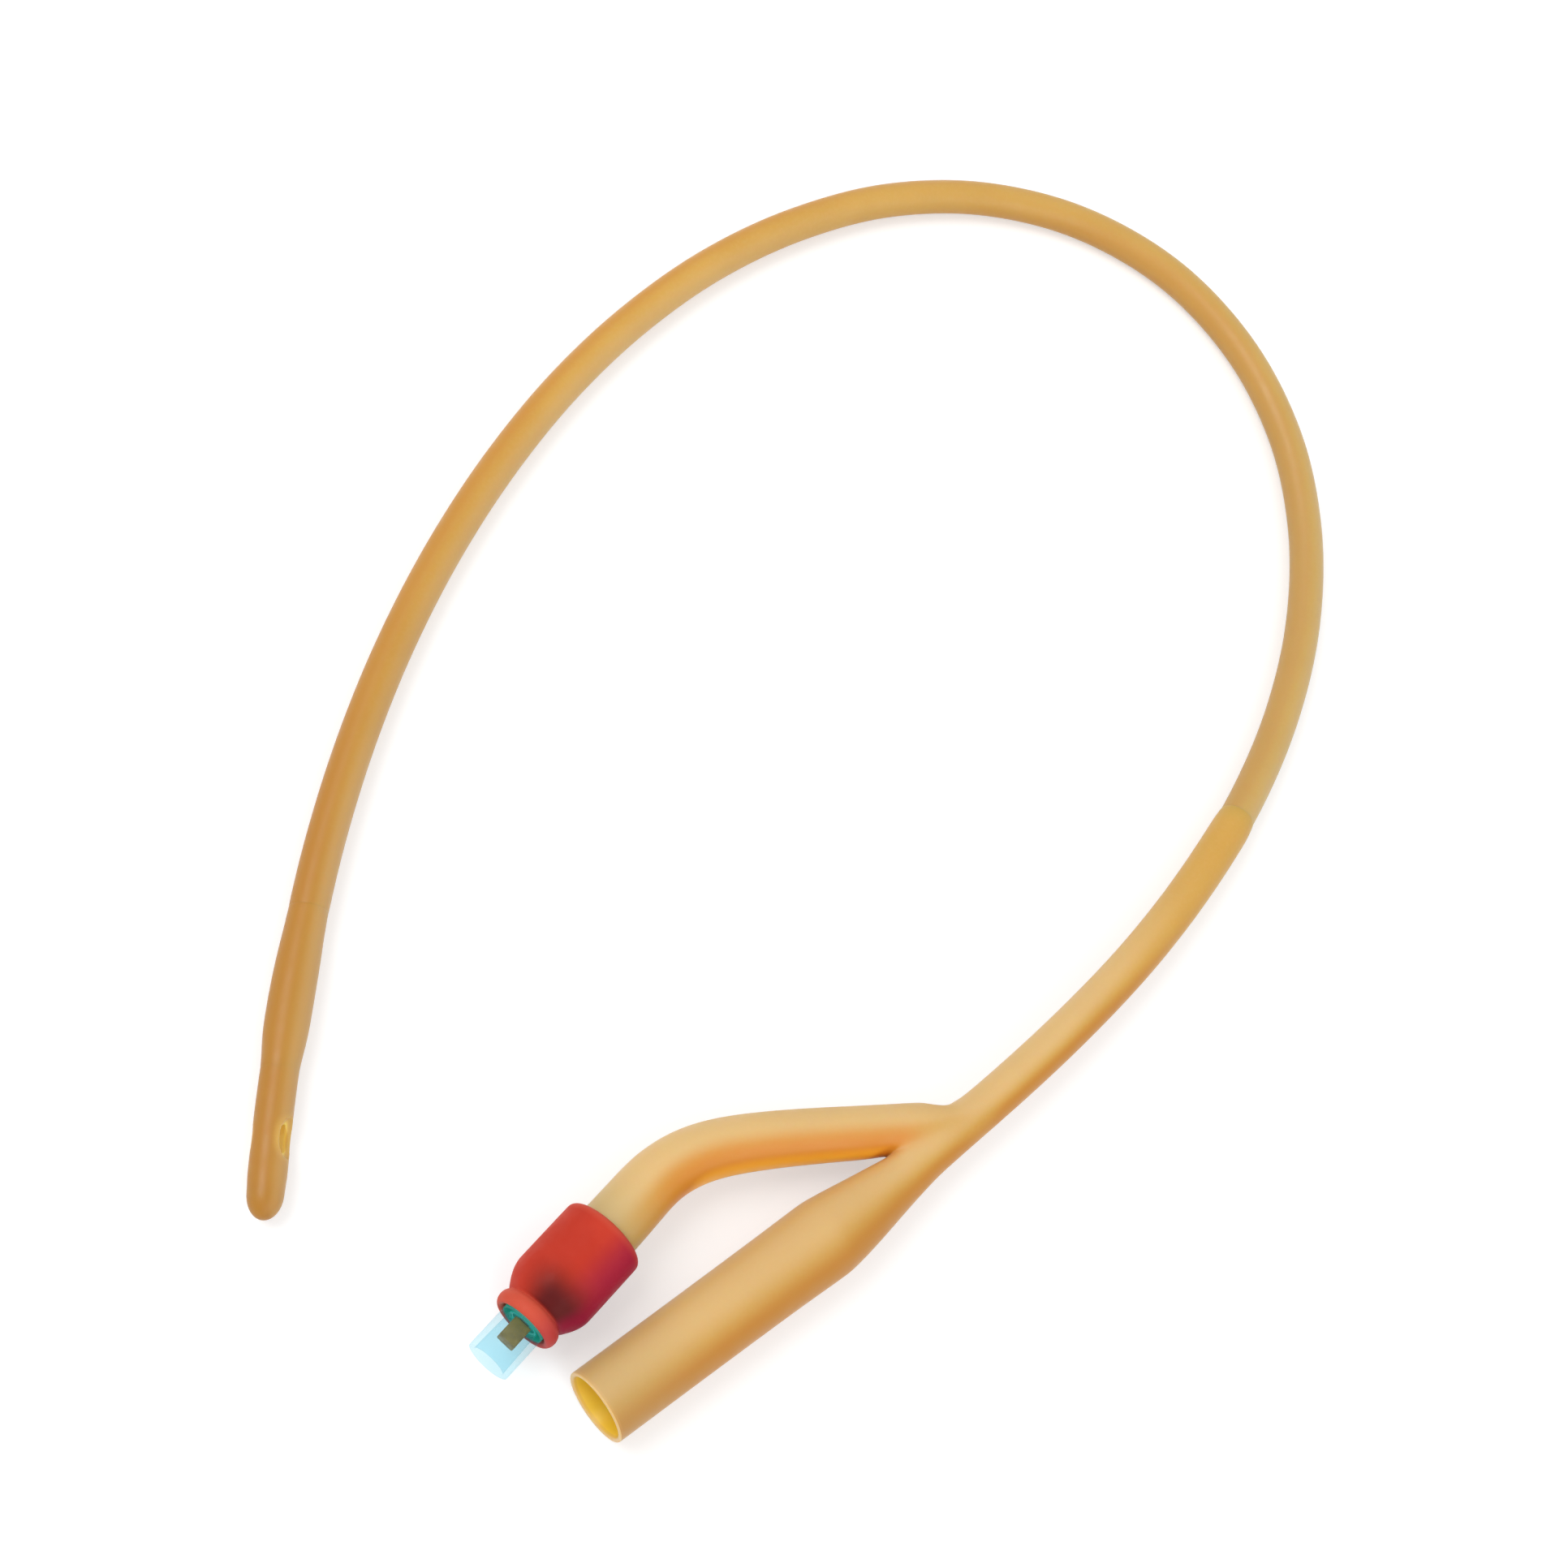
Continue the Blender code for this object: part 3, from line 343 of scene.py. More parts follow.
def turn_on_lathe(name, outline, sides, ring=True):
    """Draws an outline of (place, radius) by extrusion and spins it about Z."""
    place, radius = outline[0]
    piece = start_piece(name, (radius, 0, place))
    for (place_a, radius_a), (place_b, radius_b) in zip(outline, outline[1:]):
        move = (radius_b - radius_a, 0, place_b - place_a)
        bpy.ops.mesh.extrude_region_move(TRANSFORM_OT_translate={"value": move})
    if ring:
        net = open_net(piece)
        for vertex in net.verts:
            vertex.select = len(vertex.link_edges) == 1
        net.select_flush_mode()
        bmesh.update_edit_mesh(piece.data)
        bpy.ops.mesh.edge_face_add()
    bpy.ops.mesh.select_all(action="SELECT")
    bpy.ops.mesh.spin(steps=sides, angle=math.tau, center=(0, 0, 0), axis=(0, 0, 1))
    close_up()
    return piece


def draw_wire(name, spots, radius, fineness):
    """A round, closed wire or tube through spots, as a curve."""
    curve = bpy.data.curves.new(name, "CURVE")
    curve.dimensions = "3D"
    curve.bevel_depth = radius
    curve.bevel_resolution = fineness
    curve.use_fill_caps = True
    spline = curve.splines.new("POLY")
    spline.points.add(len(spots) - 1)
    for point, spot in zip(spline.points, spots):
        point.co = (*spot, 1)
    wire = bpy.data.objects.new(name, curve)
    bpy.context.scene.collection.objects.link(wire)
    return wire


def mesh_of_wire(wire):
    """Makes a curve a mesh, joins its end caps and turns its faces outwards."""
    select_alone(wire)
    bpy.ops.object.convert(target="MESH")
    bpy.ops.object.mode_set(mode="EDIT")
    close_up()
    return bpy.context.object


def apply_modifier(piece, kind, **settings):
    """Adds a modifier, sets it and applies it."""
    select_alone(piece)
    modifier = piece.modifiers.new(kind.lower(), kind)
    for name, value in settings.items():
        setattr(modifier, name, value)
    bpy.ops.object.modifier_apply(modifier=modifier.name)


def round_edges(piece, width, segments=3, angle=32):
    """Rounds the edges that turn by more than an angle in degrees."""
    limit = math.radians(angle)
    apply_modifier(piece, "BEVEL", width=width, segments=segments, limit_method="ANGLE", angle_limit=limit)


def lay_along(piece, line):
    """Bends a piece modelled up the Z axis so that Z runs along a line."""
    for vertex in piece.data.vertices:
        centre, aside, up, _ = line.frame(vertex.co.z)
        vertex.co = centre + up * vertex.co.x + aside * vertex.co.y
    piece.data.update()


def set_in_valve(piece):
    """Moves a piece modelled up the Z axis onto the valve's axis."""
    piece.data.transform(VALVE_PLACE)
    piece.data.update()


def paint(piece, shade):
    """Stores what shade(vertex) gives as the piece's own tone, in four shares."""
    tone = piece.data.color_attributes.new("tone", "FLOAT_COLOR", "POINT")
    for index, vertex in enumerate(piece.data.vertices):
        tone.data[index].color = shade(vertex)


# Painted light and painted shade: the side of each part that gets the painted light, towards the key lamp on
# the connector and away from it on the tube to even out the lamp's shading, and how far round the painted
# light and the painted shade reach
CONNECTOR_PAINTED_LIGHT_SIDE = Vector((-0.55, -0.45, 0.70)).normalized()
TUBE_PAINTED_LIGHT_SIDE = Vector((0.62, 0.66, 0.42)).normalized()
PAINTED_LIGHT_REACH = (0.25, 0.75)
PAINTED_SHADE_REACH = (-0.08, 0.8)
PAINTED_LIGHT_OVER_DARK = 0.42


def paint_light_and_shade(piece, side, share=None, rim=None, shade_scale=None):
    """Painted light, a pale veil, on the side facing a direction, and painted shade, a darker amber, on the
    opposite side.

    share scales both, rim is the least painted light, and the last list scales the painted shade: each a list
    by vertex."""
    for name in ("painted_light", "painted_shade"):
        piece.data.attributes.new(name, "FLOAT", "POINT")
    tone = piece.data.color_attributes["tone"].data
    painted_light = piece.data.attributes["painted_light"].data
    painted_shade = piece.data.attributes["painted_shade"].data
    for index, vertex in enumerate(piece.data.vertices):
        facing = vertex.normal.dot(side)
        inside, orange, pale, dark = tone[index].color
        part = (1 - inside) * (share[index] if share else 1)
        lit_share = rise(facing, *PAINTED_LIGHT_REACH) * part
        painted_light[index].value = max(lit_share, rim[index]) if rim else lit_share
        painted_shade[index].value = fall(facing, *PAINTED_SHADE_REACH) * part * (shade_scale[index] if shade_scale else 1)
        # Under the painted light, the latex's darker tone is lightened too
        dark *= 1 - PAINTED_LIGHT_OVER_DARK * min(lit_share, 1.0)
        tone[index].color = (inside, orange, pale, dark)


def dress(piece, finish, body, angle=40):
    """Gives a piece smooth shading up to an angle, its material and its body."""
    select_alone(piece)
    bpy.ops.object.shade_smooth_by_angle(angle=math.radians(angle))
    piece.data.materials.clear()
    piece.data.materials.append(finish)
    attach(piece, body)


# Materials

AMBER = (0.690, 0.392, 0.068)
DEEP_AMBER = (0.655, 0.360, 0.055)
AMBER_SPECK = (0.78, 0.52, 0.20)
# Darker amber of the painted shade and pale veil of the painted light
PAINTED_SHADE_COLOUR = (0.60, 0.240, 0.010)
PAINTED_LIGHT_COLOUR = (0.84, 0.62, 0.33)
# Painted glow of light through the arm's thin hollow side, and the lighter painted bounce light at its lowest
# edge
ORANGE = (0.70, 0.228, 0.001)
LIT_ORANGE = (1.0, 0.47, 0.03)
PALE_LATEX = (0.47, 0.385, 0.165)
DARK_LATEX = (0.445, 0.192, 0.008)
# The bores' yellow is the latex's own colour, brightened as painted light that stands in for light through
# the wall
TUBE_INSIDE = (0.80, 0.59, 0.13)
FUNNEL_INSIDE = (0.88, 0.58, 0.035)
SLEEVE_INSIDE = (0.82, 0.66, 0.19)
RED = (0.58, 0.042, 0.018)
DEEP_RED = (0.53, 0.034, 0.014)
# Painted highlight on the bead and lip, and painted shade: crimson on one side and dark in the fold
HIGHLIGHT_RED = (0.70, 0.125, 0.070)
CRIMSON = (0.35, 0.003, 0.045)
FOLD_SHADOW = (0.080, 0.001, 0.002)
ICE_BLUE = (0.36, 0.68, 0.84)
DEEP_ICE_BLUE = (0.31, 0.63, 0.80)
TEAL = (0.0, 0.40, 0.30)
# The teal's glow is painted light
TEAL_GLOW = (0.0, 0.30, 0.22)
SEEN_THROUGH_BLUE = (0.83, 0.945, 0.975)
SEEN_THROUGH_TEAL = (0.30, 0.84, 0.76)
OLIVE = (0.40, 0.185, 0.018)
DARK_OLIVE = (0.29, 0.130, 0.012)
BLACK = (0.035, 0.035, 0.035)
DEEP_BLACK = (0.02, 0.02, 0.02)
STEEL = (0.62, 0.62, 0.64)
DULL_STEEL = (0.50, 0.50, 0.52)
PLUG_TEAL = (0.0, 0.33, 0.27)
DEEP_PLUG_TEAL = (0.0, 0.26, 0.22)
TABLE_WHITE = (0.66, 0.66, 0.66)
FULL_WHITE = (1.0, 1.0, 1.0)


class Look:
    """The nodes of a material or of the world. Most steps give back the socket with their result."""

    def __init__(self, owner, surface="Principled BSDF"):
        owner.use_nodes = True
        self.owner = owner
        self.nodes = owner.node_tree.nodes
        self.links = owner.node_tree.links
        self.surface = self.nodes[surface]

    def fill(self, node, inputs):
        """Gives each named input of a node a number, a colour or another socket's result."""
        for name, value in inputs.items():
            socket = node.inputs[name]
            if isinstance(value, bpy.types.NodeSocket):
                self.links.new(value, socket)
            elif socket.type == "RGBA":
                socket.default_value = (*value, 1)
            else:
                socket.default_value = value
        return node

    def add(self, kind, inputs):
        """A new node with its inputs filled."""
        return self.fill(self.nodes.new(kind), inputs)

    def noise(self, scale, detail):
        """A noise on the piece's Object coordinates."""
        where = self.add("ShaderNodeTexCoord", {}).outputs["Object"]
        cloud = self.add("ShaderNodeTexNoise", {"Vector": where, "Scale": scale, "Detail": detail})
        return cloud.outputs["Fac"]

    def spread(self, value, low, high, out_low=0, out_high=1):
        """Maps one range onto another, smoothly."""
        ranges = {"From Min": low, "From Max": high, "To Min": out_low, "To Max": out_high}
        ramp = self.add("ShaderNodeMapRange", {"Value": value, **ranges})
        ramp.interpolation_type = "SMOOTHSTEP"
        return ramp.outputs["Result"]

    def clouds(self, scale, detail, low=0.3, high=0.7, out_low=0, out_high=1):
        """A noise whose middle range is spread out."""
        return self.spread(self.noise(scale, detail), low, high, out_low, out_high)

    def blend(self, share, first, second):
        """Mixes two colours, given as numbers or as sockets."""
        mix = self.add("ShaderNodeMix", {})
        mix.data_type = "RGBA"
        return self.fill(mix, {"Factor": share, "A": first, "B": second}).outputs["Result"]

    def bump(self, height, strength, distance):
        bump = self.add("ShaderNodeBump", {"Height": height, "Strength": strength, "Distance": distance})
        self.fill(self.surface, {"Normal": bump.outputs["Normal"]})

    def stored(self, name):
        """An attribute that the piece's vertices hold, as a node."""
        attribute = self.add("ShaderNodeAttribute", {})
        attribute.attribute_name = name
        return attribute

    def tone(self):
        """The four shares that paint has stored."""
        tone = self.stored("tone")
        parts = self.add("ShaderNodeSeparateColor", {"Color": tone.outputs["Color"]})
        return *(parts.outputs[name] for name in ("Red", "Green", "Blue")), tone.outputs["Alpha"]

    def combine(self, operation, first, second):
        """One result of two values, such as their product."""
        result = self.add("ShaderNodeMath", {0: first, 1: second})
        result.operation = operation
        return result.outputs[0]

    def seen_directly(self):
        """One for rays from the camera, a gloss or a clear plastic, nought for light that scatters."""
        rays = self.add("ShaderNodeLightPath", {}).outputs
        largest = self.combine("MAXIMUM", rays["Is Camera Ray"], rays["Is Glossy Ray"])
        return self.combine("MAXIMUM", largest, rays["Is Transmission Ray"])


def new_look(name):
    return Look(bpy.data.materials.new(name))


def latex_finish(name, inside, subsurface, reach, glow):
    """Tan latex: cloudy amber that light soaks into, with a fine dipped grain and a soft sheen."""
    look = new_look(name)
    bore, orange, pale, dark = look.tone()
    painted_light = look.stored("painted_light").outputs["Fac"]
    painted_shade = look.stored("painted_shade").outputs["Fac"]
    colour = look.blend(look.clouds(90, 3, 0.32, 0.68), AMBER, DEEP_AMBER)
    colour = look.blend(look.clouds(1900, 2, 0.35, 0.8, 0, 0.10), colour, AMBER_SPECK)
    # Painted shade and painted light, from the shares that the vertices hold
    colour = look.blend(look.spread(painted_shade, 0, 1), colour, PAINTED_SHADE_COLOUR)
    colour = look.blend(look.spread(painted_light, 0, 1, 0, 0.50), colour, PAINTED_LIGHT_COLOUR)
    colour = look.blend(bore, colour, inside)
    # Painted glow on the arm's hollow side, with painted bounce light at its edge
    lit_edge = look.blend(look.spread(orange, 0.83, 1.0), ORANGE, LIT_ORANGE)
    colour = look.blend(orange, colour, lit_edge)
    colour = look.blend(pale, colour, PALE_LATEX)
    colour = look.blend(dark, colour, DARK_LATEX)
    look.fill(look.surface, {
        "Base Color": colour,
        # The bore's glow is painted light through the wall
        "Emission Color": inside,
        "Emission Strength": look.spread(bore, 0.3, 1, 0, glow),
        "Roughness": look.clouds(420, 3, 0.3, 0.7, 0.41, 0.49),
        "IOR": 1.5,
        "Subsurface Weight": subsurface,
        "Subsurface Radius": (1.0, 0.45, 0.12),
        "Subsurface Scale": reach,
        "Specular IOR Level": 0.55,
        "Sheen Weight": 0.50,
        "Sheen Roughness": 0.24,
        "Sheen Tint": (1.0, 0.95, 0.82),
    })
    look.bump(look.noise(2600, 3), 0.10, 0.00003)
    return look.owner


def red_rubber_finish():
    """Moulded red rubber with a soft sheen, a painted highlight on the bead and lip, and painted shade:
    crimson on one side and dark in its fold.
    """
    look = new_look("red_rubber")
    painted_highlight, crimson, fold, _ = look.tone()
    colour = look.blend(look.clouds(240, 3), RED, DEEP_RED)
    colour = look.blend(painted_highlight, colour, HIGHLIGHT_RED)
    colour = look.blend(fold, colour, FOLD_SHADOW)
    colour = look.blend(crimson, colour, CRIMSON)
    look.fill(look.surface, {
        "Base Color": colour,
        "Roughness": look.clouds(700, 3, 0.3, 0.7, 0.52, 0.64),
        "Subsurface Weight": 0.12,
        "Subsurface Radius": (1.0, 0.12, 0.08),
        "Subsurface Scale": 0.0006,
        "Specular IOR Level": 0.20,
        "Sheen Weight": 0.02,
        "Sheen Roughness": 0.4,
        "Sheen Tint": (1.0, 0.70, 0.66),
    })
    look.bump(look.noise(1800, 4), 0.18, 0.00005)
    return look.owner


def clear_blue_finish():
    """Clear pale blue plastic that turns teal where it goes into the cuff, the teal with a painted glow."""
    look = new_look("clear_blue")
    teal = look.tone()[0]
    haze = look.clouds(500, 3)
    look.fill(look.surface, {
        "Base Color": look.blend(teal, look.blend(haze, ICE_BLUE, DEEP_ICE_BLUE), TEAL),
        "Emission Color": TEAL_GLOW,
        "Emission Strength": look.spread(teal, 0, 1, 0, 0.35),
        "Roughness": 0.12,
        "IOR": 1.46,
    })
    look.bump(haze, 0.05, 0.00002)

    tint = look.blend(teal, SEEN_THROUGH_BLUE, SEEN_THROUGH_TEAL)
    through = look.add("ShaderNodeBsdfTransparent", {"Color": tint}).outputs["BSDF"]
    edge = look.add("ShaderNodeLayerWeight", {"Blend": 0.25})
    clearness = look.spread(edge.outputs["Facing"], 0.25, 1, 0.975, 0.70)
    share = look.combine("MULTIPLY", clearness, look.spread(teal, 0, 1, 1, 0.15))
    mixed = look.add("ShaderNodeMixShader", {"Fac": share, 1: look.surface.outputs["BSDF"], 2: through})
    look.fill(look.nodes["Material Output"], {"Surface": mixed.outputs["Shader"]})
    return look.owner


def plain_finish(name, light, dark, roughness, scale, metallic=0.0):
    """Moulded plastic, seal rubber or drawn wire with a fine grain."""
    look = new_look(name)
    grain = look.clouds(scale, 4)
    look.fill(look.surface, {
        "Base Color": look.blend(grain, light, dark),
        "Roughness": look.spread(grain, 0, 1, roughness - 0.05, roughness + 0.08),
        "Metallic": metallic,
    })
    look.bump(grain, 0.1, 0.00003)
    return look.owner


tube_latex = latex_finish("tube_latex", TUBE_INSIDE, subsurface=0.40, reach=0.0012, glow=0.15)
moulded_latex = latex_finish("moulded_latex", FUNNEL_INSIDE, subsurface=0.40, reach=0.0012, glow=0.0)
balloon_latex = latex_finish("balloon_latex", SLEEVE_INSIDE, subsurface=0.25, reach=0.0005, glow=0.0)
red_rubber = red_rubber_finish()
clear_blue = clear_blue_finish()
olive_plastic = plain_finish("olive_plastic", OLIVE, DARK_OLIVE, roughness=0.50, scale=900)
seal_rubber = plain_finish("seal_rubber", BLACK, DEEP_BLACK, roughness=0.55, scale=1500)
spring_steel = plain_finish("spring_steel", STEEL, DULL_STEEL, roughness=0.25, scale=2500, metallic=1.0)
teal_plastic = plain_finish("teal_plastic", PLUG_TEAL, DEEP_PLUG_TEAL, roughness=0.35, scale=900)


# The tube: shaft, tip and balloon

# Where a tone starts to change, measured along the tube, and over what length
TIP_DARK_FADES = (0.01, 0.13)
PALE_STARTS = (0.14, 0.10)
PALER_STARTS = (0.22, 0.06)
PALE_ENDS = (0.33, 0.09)
# Where the painted light and painted shade on the tube thin out and where they end
PAINTED_LIGHT_THINS = (0.04, 0.03)
PAINTED_LIGHT_ENDS = (0.31, 0.06)


def along_tube(place):
    """Tone of the latex at a place of the tube: neither bore nor orange, then how pale and how dark."""
    dark = 0.84 * fall(place, *TIP_DARK_FADES) + 0.04
    pale = 0.20 * rise(place, *PALE_STARTS) + 0.16 * rise(place, *PALER_STARTS)
    return 0.0, 0.0, pale * fall(place, *PALE_ENDS), dark


def tree_along(line, low, high, steps):
    """Spots along a line for finding the one nearest to a vertex, with their frames and places."""
    tree = KDTree(steps + 1)
    stops = []
    for step in range(steps + 1):
        place = between(low, high, step / steps)
        stops.append((place, line.frame(place)))
        tree.insert(stops[-1][1][0], step)
    tree.balance()
    return tree, stops


def make_shaft():
    """The double-lumen tube, drawn as a round curve along the route and made a mesh."""
    start = TIP_LENGTH + SEAT_GAP
    end = route.length - JUNCTION_STATION + SHAFT_INSERTION
    stations = [between(start, end, step / SHAFT_STEPS) for step in range(SHAFT_STEPS + 1)]
    spots = [route.at(station) for station in stations]
    shaft = draw_wire("shaft_tube", spots, SHAFT_RADIUS, 14)
    shaft.data.twist_mode = "Z_UP"
    for point, station in zip(shaft.data.splines[0].points, stations):
        on_seat = fall(station, BALLOON_START + BALLOON_LENGTH - SEAT_SHOULDER, SEAT_SHOULDER)
        point.radius = 1 - SEAT_THINNING * on_seat
    shaft = mesh_of_wire(shaft)
    tree, stops = tree_along(route, start, end, 2 * SHAFT_STEPS)
    places = [stops[tree.find(vertex.co)[1]][0] for vertex in shaft.data.vertices]
    paint(shaft, lambda vertex: along_tube(places[vertex.index]))
    # Painted light away from the key lamp and painted shade towards it, to even out the lamp's shading,
    # weaker further along the tube and then gone
    share = [between(1.0, 0.6, rise(place, *PAINTED_LIGHT_THINS)) * fall(place, *PAINTED_LIGHT_ENDS) for place in places]
    paint_light_and_shade(shaft, TUBE_PAINTED_LIGHT_SIDE, share)
    dress(shaft, tube_latex, "catheter")
    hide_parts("shaft")
    return shaft, spots, start, end


def cut_eyes(tip, through):
    """Cuts a bar across the tip for both eyes, and dishes the two rims."""
    turn = through.to_track_quat("Z", "X").to_matrix().to_4x4()
    along = turn.to_3x3().transposed() @ UP
    roll = Matrix.Rotation(math.atan2(along.y, along.x), 4, "Z")
    for name, depth, length, width, reach in (
        ("eye_bar", 0.009, EYE_LENGTH - 0.0010, EYE_WIDTH - 0.0003, 0.0),
        ("eye_dish_near", 0.0018, EYE_LENGTH + 0.0006, EYE_WIDTH + 0.0008, TIP_RADIUS),
        ("eye_dish_far", 0.0018, EYE_LENGTH + 0.0006, EYE_WIDTH + 0.0008, -TIP_RADIUS),
    ):
        bpy.ops.object.select_all(action="DESELECT")
        if reach:
            bpy.ops.mesh.primitive_uv_sphere_add(segments=48, ring_count=24, radius=0.5, location=(0, 0, 0))
        else:
            bpy.ops.mesh.primitive_cylinder_add(vertices=64, radius=0.5, depth=1.0, location=(0, 0, 0))
        cutter = bpy.context.object
        cutter.name = name
        size = Matrix.Diagonal((length, width, depth, 1))
        place = Matrix.Translation(Vector((0, 0, EYE_SETBACK)) + through * reach)
        cutter.data.transform(place @ turn @ roll @ size)
        apply_modifier(tip, "BOOLEAN", operation="DIFFERENCE", solver="EXACT", object=cutter)
        bpy.data.objects.remove(cutter)


def make_tip():
    """Closed tip with a blind bore and two opposite drainage eyes with softened, dished rims."""
    outline = [(0.0, 0.0)]
    for step in range(1, 13):
        turn = math.radians(90 * step / 12)
        outline.append((NOSE_LENGTH * (1 - math.cos(turn)), TIP_RADIUS * math.sin(turn) * NOSE_FINENESS))
    outline += [(place / 1000, TIP_RADIUS) for place in (5, 8, 11, 14, 16.5)]
    outline += [(TIP_LENGTH, TIP_RADIUS), (TIP_LENGTH, LUMEN_RADIUS), (0.012, LUMEN_RADIUS)]
    outline += [(TIP_END_WALL + 0.0005, LUMEN_RADIUS), (TIP_END_WALL, LUMEN_RADIUS * 0.6)]
    outline.append((TIP_END_WALL, 0.0))
    tip = turn_on_lathe("tip_latex", outline, TUBE_SIDES, ring=False)
    through = Vector((math.cos(EYE_TURN), math.sin(EYE_TURN), 0))
    cut_eyes(tip, through)
    apply_modifier(tip, "REMESH", mode="VOXEL", voxel_size=VOXEL, use_smooth_shade=True)
    apply_modifier(tip, "SMOOTH", factor=0.5, iterations=7)

    def shade(vertex):
        across = math.hypot(vertex.co.x, vertex.co.y)
        side = abs(vertex.co.x * through.x + vertex.co.y * through.y)
        off_middle = math.sqrt(max(across**2 - side**2, 0.0))
        # The blind bore and the eye's dished rim take the inside colour and its painted glow, and round the
        # eye the darker tone is lightened as painted light
        inner = fall(across, 0.00150, 0.00045) * rise(vertex.co.z, TIP_END_WALL - 0.0008, 0.0004)
        from_eye = math.hypot((vertex.co.z - EYE_SETBACK) / 0.0026, off_middle / 0.0018)
        rim = fall(from_eye, 0.70, 0.60) * rise(side, 0.0009, 0.0006)
        dark = along_tube(vertex.co.z)[3] + 0.25 * fall(vertex.co.z, 0.0, 0.006)
        return max(inner, 0.42 * rim), 0.0, 0.0, dark * (1 - 0.7 * rim) * (1 - inner)

    paint(tip, shade)
    lay_along(tip, route)
    # Painted light and painted shade on opposite sides
    paint_light_and_shade(tip, TUBE_PAINTED_LIGHT_SIDE)
    dress(tip, tube_latex, "catheter", 60)
    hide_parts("tip")
    return tip


def make_balloon():
    """Relaxed balloon: a thin sleeve, slightly proud, its edges feathered onto the tube."""
    bore = TIP_RADIUS - 0.00007
    tip_edge = TIP_RADIUS - 0.00003
    shaft_edge = SHAFT_RADIUS - 0.00003
    front = [(0.0, 0.0), (0.02, 0.05), (0.05, 0.12), (0.10, 0.30), (0.15, 0.54), (0.20, 0.76), (0.26, 0.92)]
    front += [(0.33, 0.985), (0.42, 1.0)]
    back = [(0.50, 0.985), (0.60, 0.90), (0.68, 0.74), (0.76, 0.52), (0.83, 0.30), (0.90, 0.14), (0.96, 0.04)]
    back += [(1.0, 0.0)]
    outline = []
    for edge, swell in ((tip_edge, front), (shaft_edge, back)):
        for share, part in swell:
            outline.append((BALLOON_START + BALLOON_LENGTH * share, between(edge, BALLOON_RADIUS, part)))
    outline += [(BALLOON_START + BALLOON_LENGTH * share, bore) for share in (1.0, 0.8, 0.6, 0.4, 0.2, 0.0)]
    balloon = turn_on_lathe("balloon_sleeve", outline, TUBE_SIDES)
    apply_modifier(balloon, "SUBSURF", levels=1, render_levels=1)
    paint(balloon, lambda vertex: along_tube(vertex.co.z))
    lay_along(balloon, route)
    # Painted light and painted shade on opposite sides
    paint_light_and_shade(balloon, TUBE_PAINTED_LIGHT_SIDE)
    dress(balloon, balloon_latex, "catheter", 60)
    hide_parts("balloon")
    return balloon


# The Y connector: one coarse net grown ring by ring, then smoothed

HALF_STEPS = 8
LEG_FAN = math.radians(120)
SADDLE = math.radians(30)
SADDLE_DROP = CROTCH_DEPTH * 0.4
VALLEY_FULLNESS = 0.35
ARM_HASTE = 1.25
LIP_FLARE = 0.6
SLEEVE_RADIUS = SHAFT_RADIUS - 0.0001
COLLAR_LENGTH = 0.0038


def smoothed(radius, fan):
    """How far out the net's points lie for their smoothed ring to meet a radius."""
    return radius * 3 / (2 + math.cos(2 * fan / HALF_STEPS))


def arc_spots(at, outward, radius, fan):
    """Points of a circle from +fan to -fan about its outward side."""
    centre, aside, up, _ = at
    size = smoothed(radius, fan)
    spots = []
    for step in range(HALF_STEPS + 1):
        turn = between(fan, -fan, step / HALF_STEPS)
        spots.append(centre + (aside * outward * math.cos(turn) + up * math.sin(turn)) * size)
    return spots


def drain_frame(station):
    """Frame of the drain's axis at a distance back from the funnel's mouth."""
    return route.frame(route.length - station)


def neck_spots(station, radius):
    """A ring round the neck, in two joined halves."""
    quarter = math.radians(90)
    right = arc_spots(drain_frame(station), -1, radius, quarter)
    left = arc_spots(drain_frame(station), 1, radius, quarter)
    return right + left[-2:0:-1]


def cone_radius(station):
    """Outer radius of the funnel's cone, which narrows from the shoulder to the neck."""
    outline = [(0.0, 1.0), (0.26, 0.77), (0.52, 0.47), (0.77, 0.195), (1.0, 0.05)]
    share = (station - FUNNEL_LENGTH) / CONE_LENGTH
    for (low, high_part), (high, low_part) in zip(outline, outline[1:]):
        if share <= high:
            part = between(high_part, low_part, (share - low) / (high - low))
            return between(NECK_RADIUS, SHOULDER_RADIUS, part)
    return NECK_RADIUS


def bore_radius(station):
    """The bore opens towards the mouth, where only a thin lip is left."""
    return between(LIP_RADIUS, BORE_RADIUS, (station / LIP_DEPTH) ** LIP_FLARE)


def junction_spots(share):
    """A neck circle at share 0 that opens into two joined circles at share 1."""
    drain_radius = between(NECK_RADIUS, cone_radius(CROTCH_STATION), share)
    arm_radius = between(NECK_RADIUS, ARM_ROOT_RADIUS, ease(share * ARM_HASTE))
    drain = drain_frame(JUNCTION_STATION - JUNCTION_LENGTH * share)
    limb = arm.frame(ARM_ROOT * share)
    half_apart = (limb[0] - drain[0]).length / 2
    mean = (drain_radius + arm_radius) / 2
    valley = between(math.sqrt(max(mean**2 - half_apart**2, 0.0)), mean, VALLEY_FULLNESS)
    fan = math.pi / 2 + math.atan2(half_apart, valley)
    right = arc_spots(drain, -1, drain_radius, fan)
    left = arc_spots(limb, 1, arm_radius, fan)
    middle = (drain[0] + limb[0]) / 2
    right[0] = middle + drain[2] * valley
    right[-1] = middle - drain[2] * valley
    return right + left[-2:0:-1]


